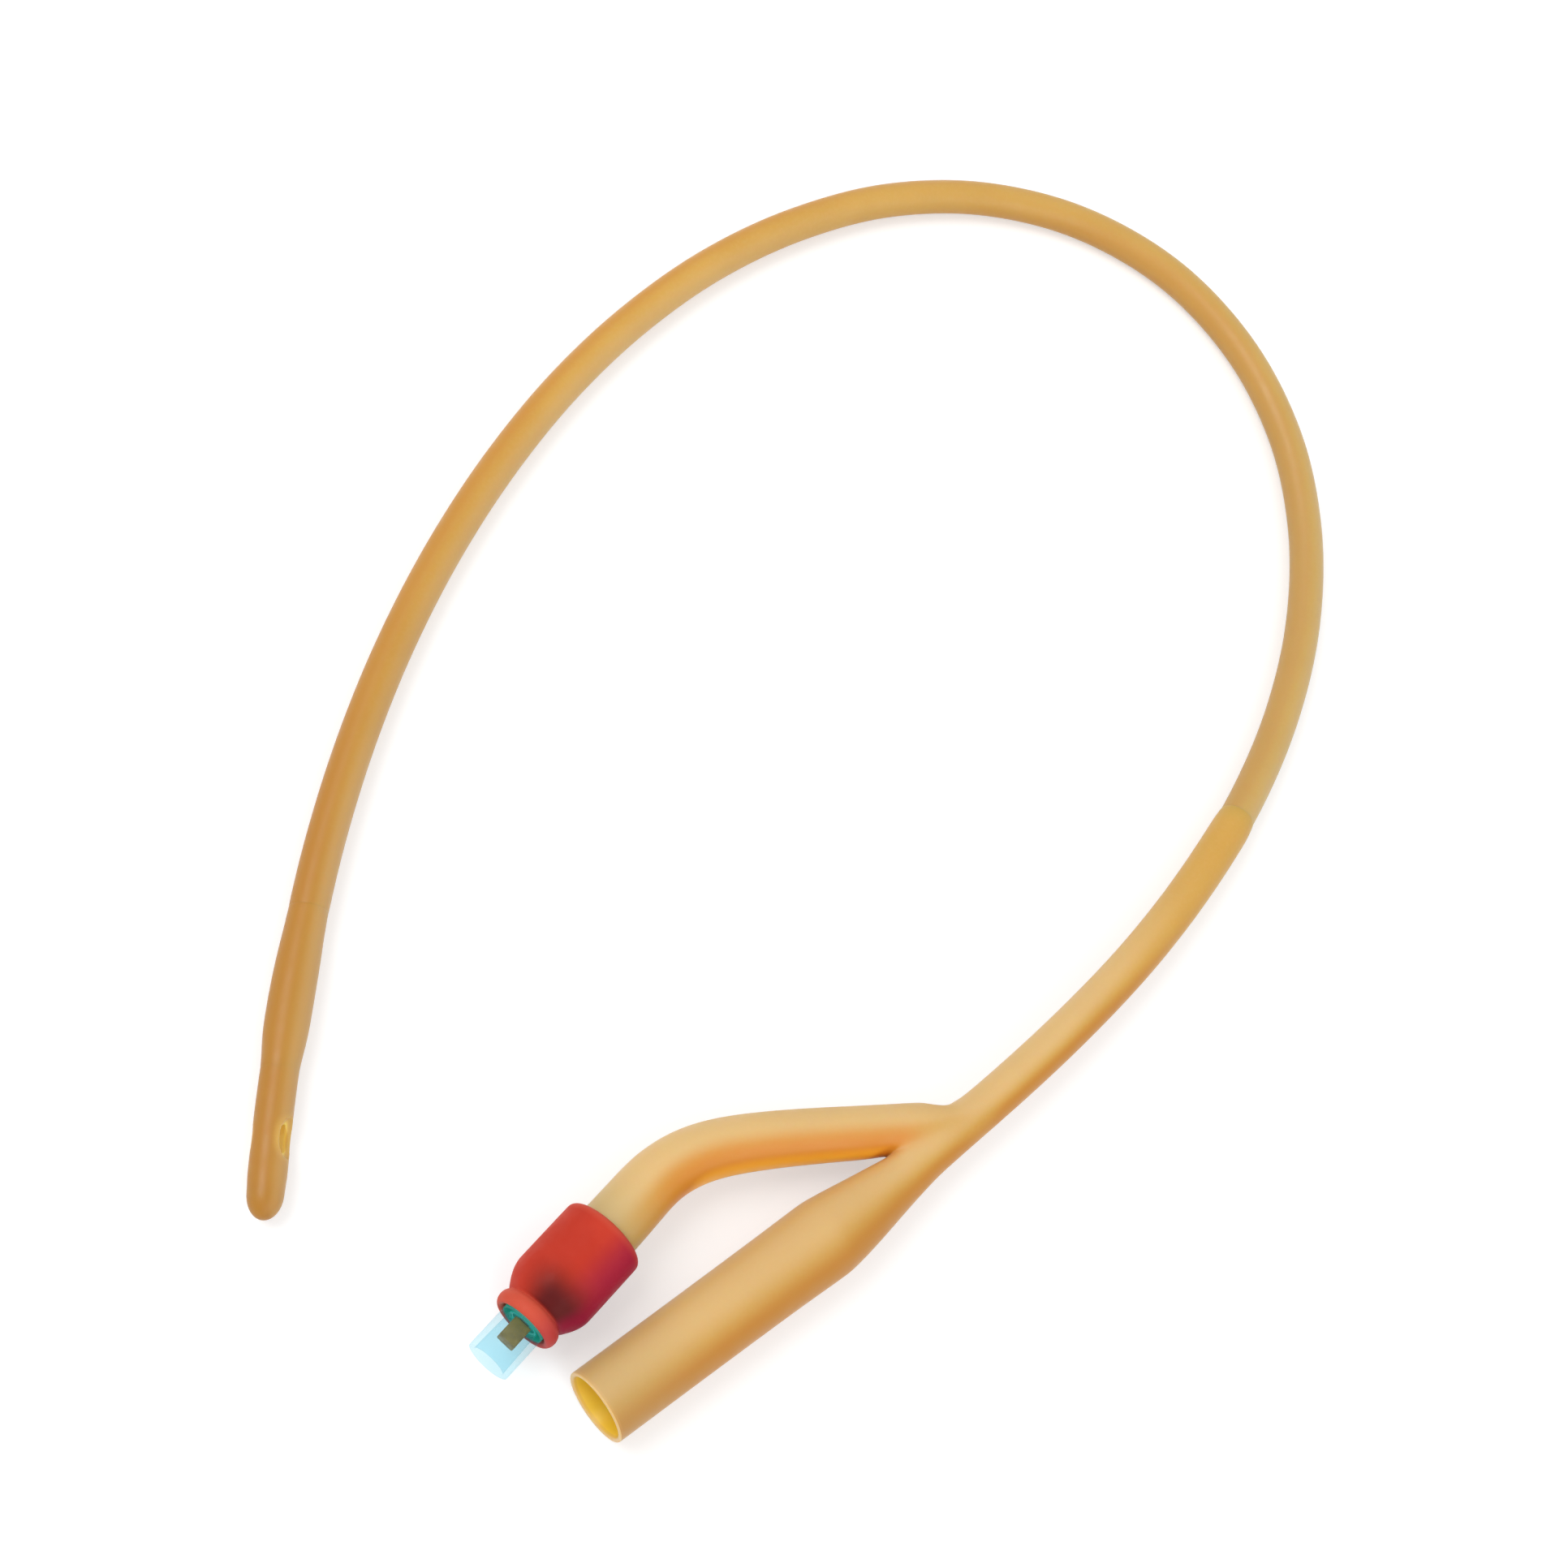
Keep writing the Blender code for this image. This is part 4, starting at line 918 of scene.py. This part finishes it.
def leg_spots(at, outward, radius):
    """A ring round one leg of the fork, with three points on the side of the web."""
    spots = arc_spots(at, outward, radius, LEG_FAN)
    centre, aside, up, _ = at
    size = smoothed(radius, LEG_FAN)
    for turn in (SADDLE - math.pi, math.pi, math.pi - SADDLE):
        spots.append(centre + (aside * outward * math.cos(turn) + up * math.sin(turn)) * size)
    return spots


def saddle_spots(drain_place, arm_place):
    """Three points of the web between the legs, top to bottom."""
    centre_a, aside_a, up_a, heading = drain_frame(drain_place)
    centre_b, aside_b, up_b, _ = arm.frame(arm_place)
    spots = []
    for turn in (SADDLE, 0, -SADDLE):
        a = centre_a + (aside_a * math.cos(turn) + up_a * math.sin(turn)) * cone_radius(drain_place)
        b = centre_b + (-aside_b * math.cos(turn) + up_b * math.sin(turn)) * ARM_ROOT_RADIUS
        spot = (a + b) / 2
        if turn:
            spot -= heading * SADDLE_DROP
        spots.append(spot)
    return spots


def clear_selection(net):
    for part in (*net.verts, *net.edges, *net.faces):
        part.select = False


def drain_ring(station, radius):
    return leg_spots(drain_frame(station), -1, radius)


def arm_ring(place, radius):
    return leg_spots(arm.frame(place), 1, radius)


def select_only(net, ring):
    """Selects the edges of a closed ring of vertex numbers."""
    clear_selection(net)
    for a, b in zip(ring, ring[1:] + ring[:1]):
        edge = net.edges.get((net.verts[a], net.verts[b]))
        edge.select = True
        edge.verts[0].select = True
        edge.verts[1].select = True


def grow(piece, ring, spots):
    """Extrudes a ring of the net and sets each new vertex on its spot."""
    net = open_net(piece)
    select_only(net, ring)
    bmesh.update_edit_mesh(piece.data)
    bpy.ops.mesh.extrude_edges_indiv()
    net = open_net(piece)
    fresh = []
    for number, spot in zip(ring, spots):
        grown = [edge.other_vert(net.verts[number]) for edge in net.verts[number].link_edges]
        grown = next(vertex for vertex in grown if vertex.select)
        grown.co = spot
        fresh.append(grown.index)
    bmesh.update_edit_mesh(piece.data)
    return fresh


def cap(piece, ring):
    """Closes a ring of the net with one face."""
    net = open_net(piece)
    select_only(net, ring)
    bmesh.update_edit_mesh(piece.data)
    bpy.ops.mesh.edge_face_add()


def grow_through(piece, ring, spots_at, rows):
    """Grows a ring through rows of (place, radius)."""
    for place, radius in rows:
        ring = grow(piece, ring, spots_at(place, radius))
    return ring


def start_neck():
    """The net's first ring, closed, as a piece left in edit mode."""
    bpy.ops.object.select_all(action="DESELECT")
    bpy.ops.mesh.primitive_circle_add(vertices=2 * HALF_STEPS, radius=SHAFT_RADIUS, location=(0, 0, 0))
    piece = bpy.context.object
    piece.name = "connector_moulding"
    bpy.ops.object.mode_set(mode="EDIT")
    bpy.ops.mesh.select_mode(type="EDGE")
    net = open_net(piece)
    for vertex, spot in zip(net.verts, neck_spots(NECK_START - 0.003, SLEEVE_RADIUS)):
        vertex.co = spot
    bmesh.update_edit_mesh(piece.data)
    ring = list(range(2 * HALF_STEPS))
    cap(piece, ring)
    return piece, ring


def grow_neck(piece, ring):
    """Rounded collar on the tube, the long neck, and its opening into a fork."""
    rows = []
    for setback, radius in (
        (0.0010, SLEEVE_RADIUS),
        (0.0002, SLEEVE_RADIUS),
        (0.0, SLEEVE_RADIUS + 0.00007),
        (0.0002, SLEEVE_RADIUS + 0.00015),
        (0.0008, SLEEVE_RADIUS + 0.00022),
        (0.0022, NECK_RADIUS - 0.00002),
        (COLLAR_LENGTH, NECK_RADIUS),
    ):
        rows.append((NECK_START - setback, radius))
    for step in range(1, NECK_STEPS + 1):
        station = between(NECK_START - COLLAR_LENGTH, JUNCTION_STATION, step / NECK_STEPS)
        rows.append((station, NECK_RADIUS))
    ring = grow_through(piece, ring, neck_spots, rows)
    for share in (0.28, 0.53, 0.78, 1.0):
        ring = grow(piece, ring, junction_spots(share))
    return ring


def add_web(piece, fork):
    """Joins the fork's top to its bottom by an edge with three vertices, and sets them on the saddle."""
    net = open_net(piece)
    clear_selection(net)
    bpy.ops.mesh.select_mode(type="VERT")
    net.verts[fork[0]].select = True
    net.verts[fork[HALF_STEPS]].select = True
    bmesh.update_edit_mesh(piece.data)
    known = len(net.verts)
    bpy.ops.mesh.edge_face_add()
    bpy.ops.mesh.subdivide(number_cuts=3)
    net = open_net(piece)
    web = sorted(range(known, len(net.verts)), key=lambda number: -net.verts[number].co.z)
    saddle = saddle_spots(CROTCH_STATION - CROTCH_DEPTH, ARM_ROOT + CROTCH_DEPTH * 0.45)
    for number, spot in zip(web, saddle):
        net.verts[number].co = spot
    bmesh.update_edit_mesh(piece.data)
    bpy.ops.mesh.select_mode(type="EDGE")
    return web


def grow_drain(piece, ring):
    """Cone, funnel and rounded mouth, then the bore as far as the neck."""
    rows = []
    for share in (0.69, 0.45, 0.22, 0.04):
        station = FUNNEL_LENGTH + CONE_LENGTH * share
        rows.append((station, cone_radius(station)))
    for share, part in ((0.985, 1.0), (0.92, 0.84), (0.76, 0.45), (0.42, 0.15), (0.08, 0.0)):
        rows.append((FUNNEL_LENGTH * share, between(MOUTH_RADIUS, SHOULDER_RADIUS, part)))
    rows += [
        (0.00030, MOUTH_RADIUS),
        (0.00006, MOUTH_RADIUS - 0.00002),
        (0.0, MOUTH_RADIUS - 0.00010),
        (0.0, MOUTH_RADIUS - 0.00022),
        (0.0, LIP_RADIUS + 0.00012),
        (0.00010, LIP_RADIUS + 0.00002),
    ]
    rows += [(station, bore_radius(station)) for station in (0.0005, 0.0020, 0.0045, 0.0075)]
    rows += [(station, BORE_RADIUS) for station in (0.0110, 0.018, 0.031)]
    rows += [(0.036, BORE_RADIUS - 0.00025), (0.042, 0.00235), (0.049, 0.0017), (0.0495, 0.0009)]
    cap(piece, grow_through(piece, ring, drain_ring, rows))


def grow_arm(piece, ring):
    """Bent arm and its end, then the bore that holds the valve's tail."""
    start = ARM_ROOT + CROTCH_DEPTH * 1.4
    end = arm.length - ARM_END - SEAT_GAP
    rows = []
    for step in range(ARM_STEPS + 1):
        share = step / ARM_STEPS
        radius = between(ARM_ROOT_RADIUS, ARM_END_RADIUS, min(share * ARM_HASTE, 1.0))
        rows.append((between(start, end - 0.0002, share), radius))
    for setback, radius in (
        (0.0, ARM_END_RADIUS - 0.0002),
        (0.0, ARM_BORE_RADIUS + 0.0003),
        (0.0, ARM_BORE_RADIUS + 0.0001),
        (0.0003, ARM_BORE_RADIUS),
        (0.0024, ARM_BORE_RADIUS),
        (0.0045, ARM_BORE_RADIUS),
        (0.0048, ARM_BORE_RADIUS - 0.0003),
    ):
        rows.append((end - setback, radius))
    cap(piece, grow_through(piece, ring, arm_ring, rows))


def press_in(piece, spot, move, reach):
    """Presses a soft dent into the piece round a spot."""
    for vertex in piece.data.vertices:
        vertex.co += move * ease(1 - (vertex.co - spot).length / reach)
    piece.data.update()


def shade_connector(piece):
    """Yellow bore, an orange painted glow on the arm's hollow side, paler and greener towards the cuff and
    mouth.

    Gives back, for each vertex, the scale of its painted light and shade, the painted light on the mouth's
    rim, and the scale of its painted shade."""
    mouth = route.length
    arm_reach = arm.length - ARM_END
    drain_tree, drain_stops = tree_along(route, mouth - NECK_START - 0.004, mouth, 400)
    arm_tree, arm_stops = tree_along(arm, 0.0, arm_reach, 250)
    fade = []
    painted_rim_lights = []
    shade_scales = []

    def wall_of_bore(back):
        """How far the bore's wall is from its axis, at a distance back from the mouth."""
        narrow = between(0.0020, BORE_RADIUS, fall(back, 0.036, 0.010))
        return max(narrow, bore_radius(min(max(back, 0.0), LIP_DEPTH))) if back < 0.03 else narrow

    def shade(vertex):
        spot = vertex.co
        _, drain_index, drain_off = drain_tree.find(spot)
        _, arm_index, arm_off = arm_tree.find(spot)
        back = mouth - drain_stops[drain_index][0]
        arm_place, (centre, aside, _, _) = arm_stops[arm_index]
        along = arm_place / arm_reach
        nearer_arm = rise(drain_off - arm_off, -0.0015, 0.0030)
        arm_share = nearer_arm * rise(along, 0.10, 0.10)
        off_arm = 1 - arm_share

        # Painted glow of light through the latex on the arm's side that faces the funnel, with painted bounce
        # light at its lowest edge
        hollow = -(spot - centre).normalized().dot(aside)
        orange = 0.80 * rise(hollow, -0.28, 0.88) + 0.20 * min(max((hollow - 0.62) / 0.38, 0.0), 1.0)
        orange *= fall(along, 0.60, 0.34) * arm_share
        green = 0.95 * rise(along, 0.70, 0.24) * arm_share
        bore = 0.0
        if back < 0.052:
            bore = fall(drain_off, wall_of_bore(back) + 0.00015, 0.0002)
            bore *= rise(back, 0.00005, 0.0004) * off_arm
        rim = fall(back, 0.0001, 0.0003)
        beige = 0.34 * fall(back, 0.0, 0.016) * off_arm * (1 - rim)
        dark = between(0.10, 0.28, fall(back, CROTCH_STATION - 0.012, 0.012)) * off_arm * (1 - rim)

        # The mouth's rim gets painted light, and the painted shade is kept off the rim and mostly off the
        # arm's root
        painted_rim_light = 0.95 * rim * (1 - bore) * off_arm
        limb = nearer_arm * fall(back, JUNCTION_STATION - 0.002, 0.008)
        fade.append(1.2 * max(fall(back, NECK_START - 0.05, 0.05), arm_share))
        painted_rim_lights.append(painted_rim_light)
        shade_scales.append((1 - painted_rim_light) * (1 - 0.85 * limb))
        return bore, orange, max(green, beige) * (1 - bore), dark * (1 - bore)

    paint(piece, shade)
    return fade, painted_rim_lights, shade_scales


def make_connector():
    """Neck, drainage funnel and inflation arm in one moulding, with the funnel's open bore."""
    connector, ring = start_neck()
    fork = grow_neck(connector, ring)
    web = add_web(connector, fork)
    grow_drain(connector, fork[: HALF_STEPS + 1] + web[::-1])
    grow_arm(connector, [fork[0]] + fork[:HALF_STEPS:-1] + [fork[HALF_STEPS]] + web[::-1])
    bpy.ops.mesh.select_all(action="SELECT")
    bpy.ops.mesh.normals_make_consistent(inside=False)
    bpy.ops.object.mode_set(mode="OBJECT")
    apply_modifier(connector, "SUBSURF", levels=3, render_levels=3)
    press_in(connector, Vector(DENT_SPOT), Vector((DENT_DEPTH, 0, 0)), DENT_REACH)
    fade, painted_rim_lights, shade_scales = shade_connector(connector)
    # Painted light towards the key lamp and painted shade opposite
    paint_light_and_shade(connector, CONNECTOR_PAINTED_LIGHT_SIDE, fade, painted_rim_lights, shade_scales)
    dress(connector, moulded_latex, "catheter", 50)
    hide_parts("y_connector")


# The cuff and the inflation valve

def make_cuff():
    """Red sleeve with a rolled bead and a necked-in front."""
    grip = HOUSING_RADIUS + SEAT_GAP
    curl = BEAD_LENGTH / 2
    outline = [(CUFF_START + 0.00025, grip)]
    for degrees in range(10, 171, 16):
        turn = math.radians(degrees)
        height = between(between(grip, BEAD_RADIUS, 0.45), BEAD_RADIUS, math.sin(turn))
        outline.append((CUFF_START + curl * (1 - math.cos(turn)), height))
    shoulder = CUFF_START + BEAD_LENGTH + curl * 0.3
    outline.append((shoulder - 0.0001, CUFF_NECK_RADIUS))
    for step in range(1, 11):
        swell = math.sin(step / 10 * math.pi / 2) ** 0.9
        place = shoulder + CUFF_SHOULDER_LENGTH * step / 10
        outline.append((place, between(CUFF_NECK_RADIUS, CUFF_RADIUS, swell)))
    outline += [(0.0135, CUFF_RADIUS), (0.0165, CUFF_RADIUS)]
    for step in range(7):
        turn = math.radians(90 * step / 6)
        place = CUFF_END - CUFF_EDGE_ROUND * (1 - math.sin(turn))
        outline.append((place, CUFF_RADIUS - CUFF_EDGE_ROUND * (1 - math.cos(turn))))
    inner = ARM_END_RADIUS + SEAT_GAP * 2
    flange = FLANGE_RADIUS + SEAT_GAP
    flange_front = ARM_END - FLANGE_THICKNESS - SEAT_GAP * 2
    outline += [(CUFF_END - 0.0001, inner + 0.0003), (CUFF_END - 0.0004, inner), (ARM_END, inner)]
    outline += [(ARM_END, flange), (flange_front, flange), (flange_front, grip)]
    cuff = turn_on_lathe("cuff_rubber", outline, VALVE_SIDES)
    apply_modifier(cuff, "SUBSURF", levels=1, render_levels=1)

    # Painted highlight on the bead and the back lip, and painted shade: crimson on one side and dark in the
    # fold behind the bead
    def shade(vertex):
        place = vertex.co.z
        across = math.hypot(vertex.co.x, vertex.co.y)
        side = vertex.co.y / max(across, 0.001)
        bead = fall(place, CUFF_START + BEAD_LENGTH * 0.9, 0.0005)
        lip = rise(place, CUFF_END - 0.0012, 0.0008)
        fold = rise(place, CUFF_START + BEAD_LENGTH * 0.8, 0.0006) * rise(side, -0.95, 1.0)
        fold *= fall(place, shoulder + 0.0011, between(0.0044, 0.0064, ease(side)))
        crimson = between(rise(side, -0.05, 0.90), 0.95 * rise(side, 0.52, 0.44), fold)
        crimson *= 0.85 * (1 - 0.4 * lip) * (1 - 0.5 * bead)
        return max(0.55 * bead, 0.35 * lip), crimson, 0.95 * fold * (1 - bead), 0.0

    paint(cuff, shade)
    set_in_valve(cuff)
    dress(cuff, red_rubber, "catheter", 60)
    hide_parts("size_cuff")


def make_housing():
    """Clear valve body: tapered syringe socket, valve seat, spring chamber, flange and barbed tail."""
    flange_back = ARM_END - SEAT_GAP
    flange_front = flange_back - FLANGE_THICKNESS
    near_bottom = SOCKET_DEPTH - 0.0004
    halfway = 0.0028
    outline = [
        (near_bottom, between(SOCKET_BOTTOM_RADIUS, SOCKET_RADIUS, 0.07)),
        (halfway, between(SOCKET_BOTTOM_RADIUS, SOCKET_RADIUS, 0.5)),
        (0.0, SOCKET_RADIUS),
        (0.0, HOUSING_RADIUS),
        (halfway, HOUSING_RADIUS),
        (near_bottom, HOUSING_RADIUS),
        (SOCKET_DEPTH, HOUSING_RADIUS),
        (flange_front, HOUSING_RADIUS),
        (flange_front, FLANGE_RADIUS),
        (flange_back, FLANGE_RADIUS),
        (flange_back, TAIL_RADIUS),
    ]
    for place in BARB_PLACES:
        outline += [(place, TAIL_RADIUS), (place, TAIL_RADIUS + BARB_HEIGHT)]
        outline.append((place + BARB_LENGTH, TAIL_RADIUS))
    outline += [
        (TAIL_END, TAIL_RADIUS),
        (TAIL_END, CHAMBER_RADIUS),
        (CHAMBER_START, CHAMBER_RADIUS),
        (CHAMBER_START, SEAT_HOLE_RADIUS),
        (SOCKET_DEPTH, SEAT_HOLE_RADIUS),
        (SOCKET_DEPTH, SOCKET_BOTTOM_RADIUS),
    ]
    housing = turn_on_lathe("valve_body", outline, VALVE_SIDES)
    round_edges(housing, 0.00012)
    paint(housing, lambda vertex: (rise(vertex.co.z, SOCKET_DEPTH - 0.0003, 0.0002), 0.0, 0.0, 0.0))
    set_in_valve(housing)
    dress(housing, clear_blue, "catheter", 35)
    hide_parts("valve_housing")


def make_head():
    """The plunger's square head, its four long edges rounded."""
    bpy.ops.object.select_all(action="DESELECT")
    bpy.ops.mesh.primitive_cube_add(size=1.0, location=(0, 0, 0))
    head = bpy.context.object
    middle = Matrix.Translation((0, 0, HEAD_PLACE + HEAD_LENGTH / 2))
    head.data.transform(middle @ Matrix.Diagonal((HEAD_WIDTH, HEAD_WIDTH, HEAD_LENGTH, 1)))
    bpy.ops.object.mode_set(mode="EDIT")
    bpy.ops.mesh.select_mode(type="EDGE")
    bpy.ops.mesh.select_all(action="DESELECT")
    net = bmesh.from_edit_mesh(head.data)
    for edge in net.edges:
        if abs(edge.verts[0].co.z - edge.verts[1].co.z) > HEAD_LENGTH / 2:
            edge.select_set(True)
    bmesh.update_edit_mesh(head.data)
    bpy.ops.mesh.bevel(offset=HEAD_ROUND, segments=6, affect="EDGES")
    bpy.ops.object.mode_set(mode="OBJECT")
    return head


def make_plunger():
    """Square head in the socket, stem through the seat, flange and guide pin, with softened edges."""
    outline = [
        (HEAD_PLACE + HEAD_LENGTH * 0.75, 0.0),
        (HEAD_PLACE + HEAD_LENGTH * 0.75, STEM_RADIUS),
        (PLUNGER_FLANGE_PLACE, STEM_RADIUS),
        (PLUNGER_FLANGE_PLACE, PLUNGER_FLANGE_RADIUS),
        (GUIDE_PIN_PLACE, PLUNGER_FLANGE_RADIUS),
        (GUIDE_PIN_PLACE, GUIDE_PIN_RADIUS),
        (GUIDE_PIN_END, GUIDE_PIN_RADIUS),
        (GUIDE_PIN_END, 0.0),
    ]
    plunger = turn_on_lathe("valve_stem", outline, PLUNGER_SIDES, ring=False)
    head = make_head()
    apply_modifier(plunger, "BOOLEAN", operation="UNION", solver="EXACT", object=head)
    bpy.data.objects.remove(head)
    round_edges(plunger, 0.00007, 2, 50)
    set_in_valve(plunger)
    dress(plunger, olive_plastic, "plunger", 35)
    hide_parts("valve_plunger")


def make_spring():
    """Drawn wire helix with open ends."""
    low = SPRING_START + SPRING_WIRE
    high = SPRING_END - SPRING_WIRE
    spots = []
    for step in range(SPRING_STEPS + 1):
        share = step / SPRING_STEPS
        turn = math.tau * SPRING_TURNS * share
        across = (SPRING_RADIUS * math.cos(turn), SPRING_RADIUS * math.sin(turn))
        spots.append((*across, between(low, high, share)))
    spring = mesh_of_wire(draw_wire("valve_spring_wire", spots, SPRING_WIRE, 3))
    set_in_valve(spring)
    dress(spring, spring_steel, "catheter")
    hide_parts("valve_spring")
    tuple(inward)
    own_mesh(spring)


def refinish(node, finish):
    """A solid whose shape is right stays and only gets a better material."""
    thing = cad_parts[node]
    thing.data.materials.clear()
    thing.data.materials.append(finish)


# The table, the light and the camera

TABLE_SIZE = 6.0
TABLE_DROP = 0.00002
TABLE_GLOW = 0.47
SCATTERED_SKY = 0.64
LAMPS = (
    # name, place in metres, width of the disk in metres, power in watts
    ("key", (-0.48, -0.42, 0.92), 0.7, 5.0),
    ("fill", (0.80, -0.25, 0.60), 0.9, 2.6),
)
CAMERA_PLACE = (0.05978, -0.14957, 0.28329)
CAMERA_HEADING = (-0.16296, 0.44028, -0.88295)
CAMERA_UP = (-0.78944, 0.4786, 0.38435)
LENS = 57.9
SENSOR_WIDTH = 36.0


def make_table():
    """A wide white table that looks evenly lit to the camera and takes a soft shadow."""
    bpy.ops.object.select_all(action="DESELECT")
    bpy.ops.mesh.primitive_plane_add(size=TABLE_SIZE, location=(0, 0, -TABLE_DROP))
    table = bpy.context.object
    table.name = "table"
    look = new_look("white_table")
    look.fill(look.surface, {
        "Base Color": TABLE_WHITE,
        "Roughness": 0.8,
        "Emission Color": FULL_WHITE,
        "Emission Strength": look.combine("MULTIPLY", look.seen_directly(), TABLE_GLOW),
    })
    table.data.materials.append(look.owner)


def make_light():
    """A white room that lights the scene less than it shows in a gloss, and two soft lamps."""
    room = Look(bpy.data.worlds.new("soft_room"), "Background")
    bpy.context.scene.world = room.owner
    level = room.add("ShaderNodeMapRange", {"Value": room.seen_directly(), "To Min": SCATTERED_SKY})
    room.fill(room.surface, {"Color": FULL_WHITE, "Strength": level.outputs["Result"]})
    for name, place, size, power in LAMPS:
        light = bpy.data.lights.new(name, "AREA")
        light.shape = "DISK"
        light.size = size
        light.energy = power
        lamp = bpy.data.objects.new(name, light)
        bpy.context.scene.collection.objects.link(lamp)
        lamp.location = place
        lamp.rotation_mode = "QUATERNION"
        lamp.rotation_quaternion = (-Vector(place)).to_track_quat("-Z", "Y")


def make_camera():
    """The photograph's view: from above the funnel's side, turned in the picture's own plane."""
    forward = Vector(CAMERA_HEADING).normalized()
    up = Vector(CAMERA_UP)
    up = (up - forward * up.dot(forward)).normalized()
    right = forward.cross(up)
    data = bpy.data.cameras.new("camera")
    data.lens = LENS
    data.sensor_width = SENSOR_WIDTH
    data.clip_start = 0.01
    data.clip_end = 20.0
    camera = bpy.data.objects.new("camera", data)
    bpy.context.scene.collection.objects.link(camera)
    turn = Matrix((right, up, -forward)).transposed().to_4x4()
    camera.matrix_world = Matrix.Translation(CAMERA_PLACE) @ turn
    bpy.context.scene.camera = camera
    bpy.context.scene.view_settings.view_transform = "Standard"


make_camera()
shaft, spots, start, end = make_shaft()
tip = make_tip()
balloon = make_balloon()
make_connector()
make_cuff()
make_housing()
make_plunger()
make_spring()
refinish("valve_seal", seal_rubber)
refinish("valve_retainer", teal_plastic)
tuple(spots[-1])
[tuple(spot) for spot in spots[::-2]]
make_table()
make_light()
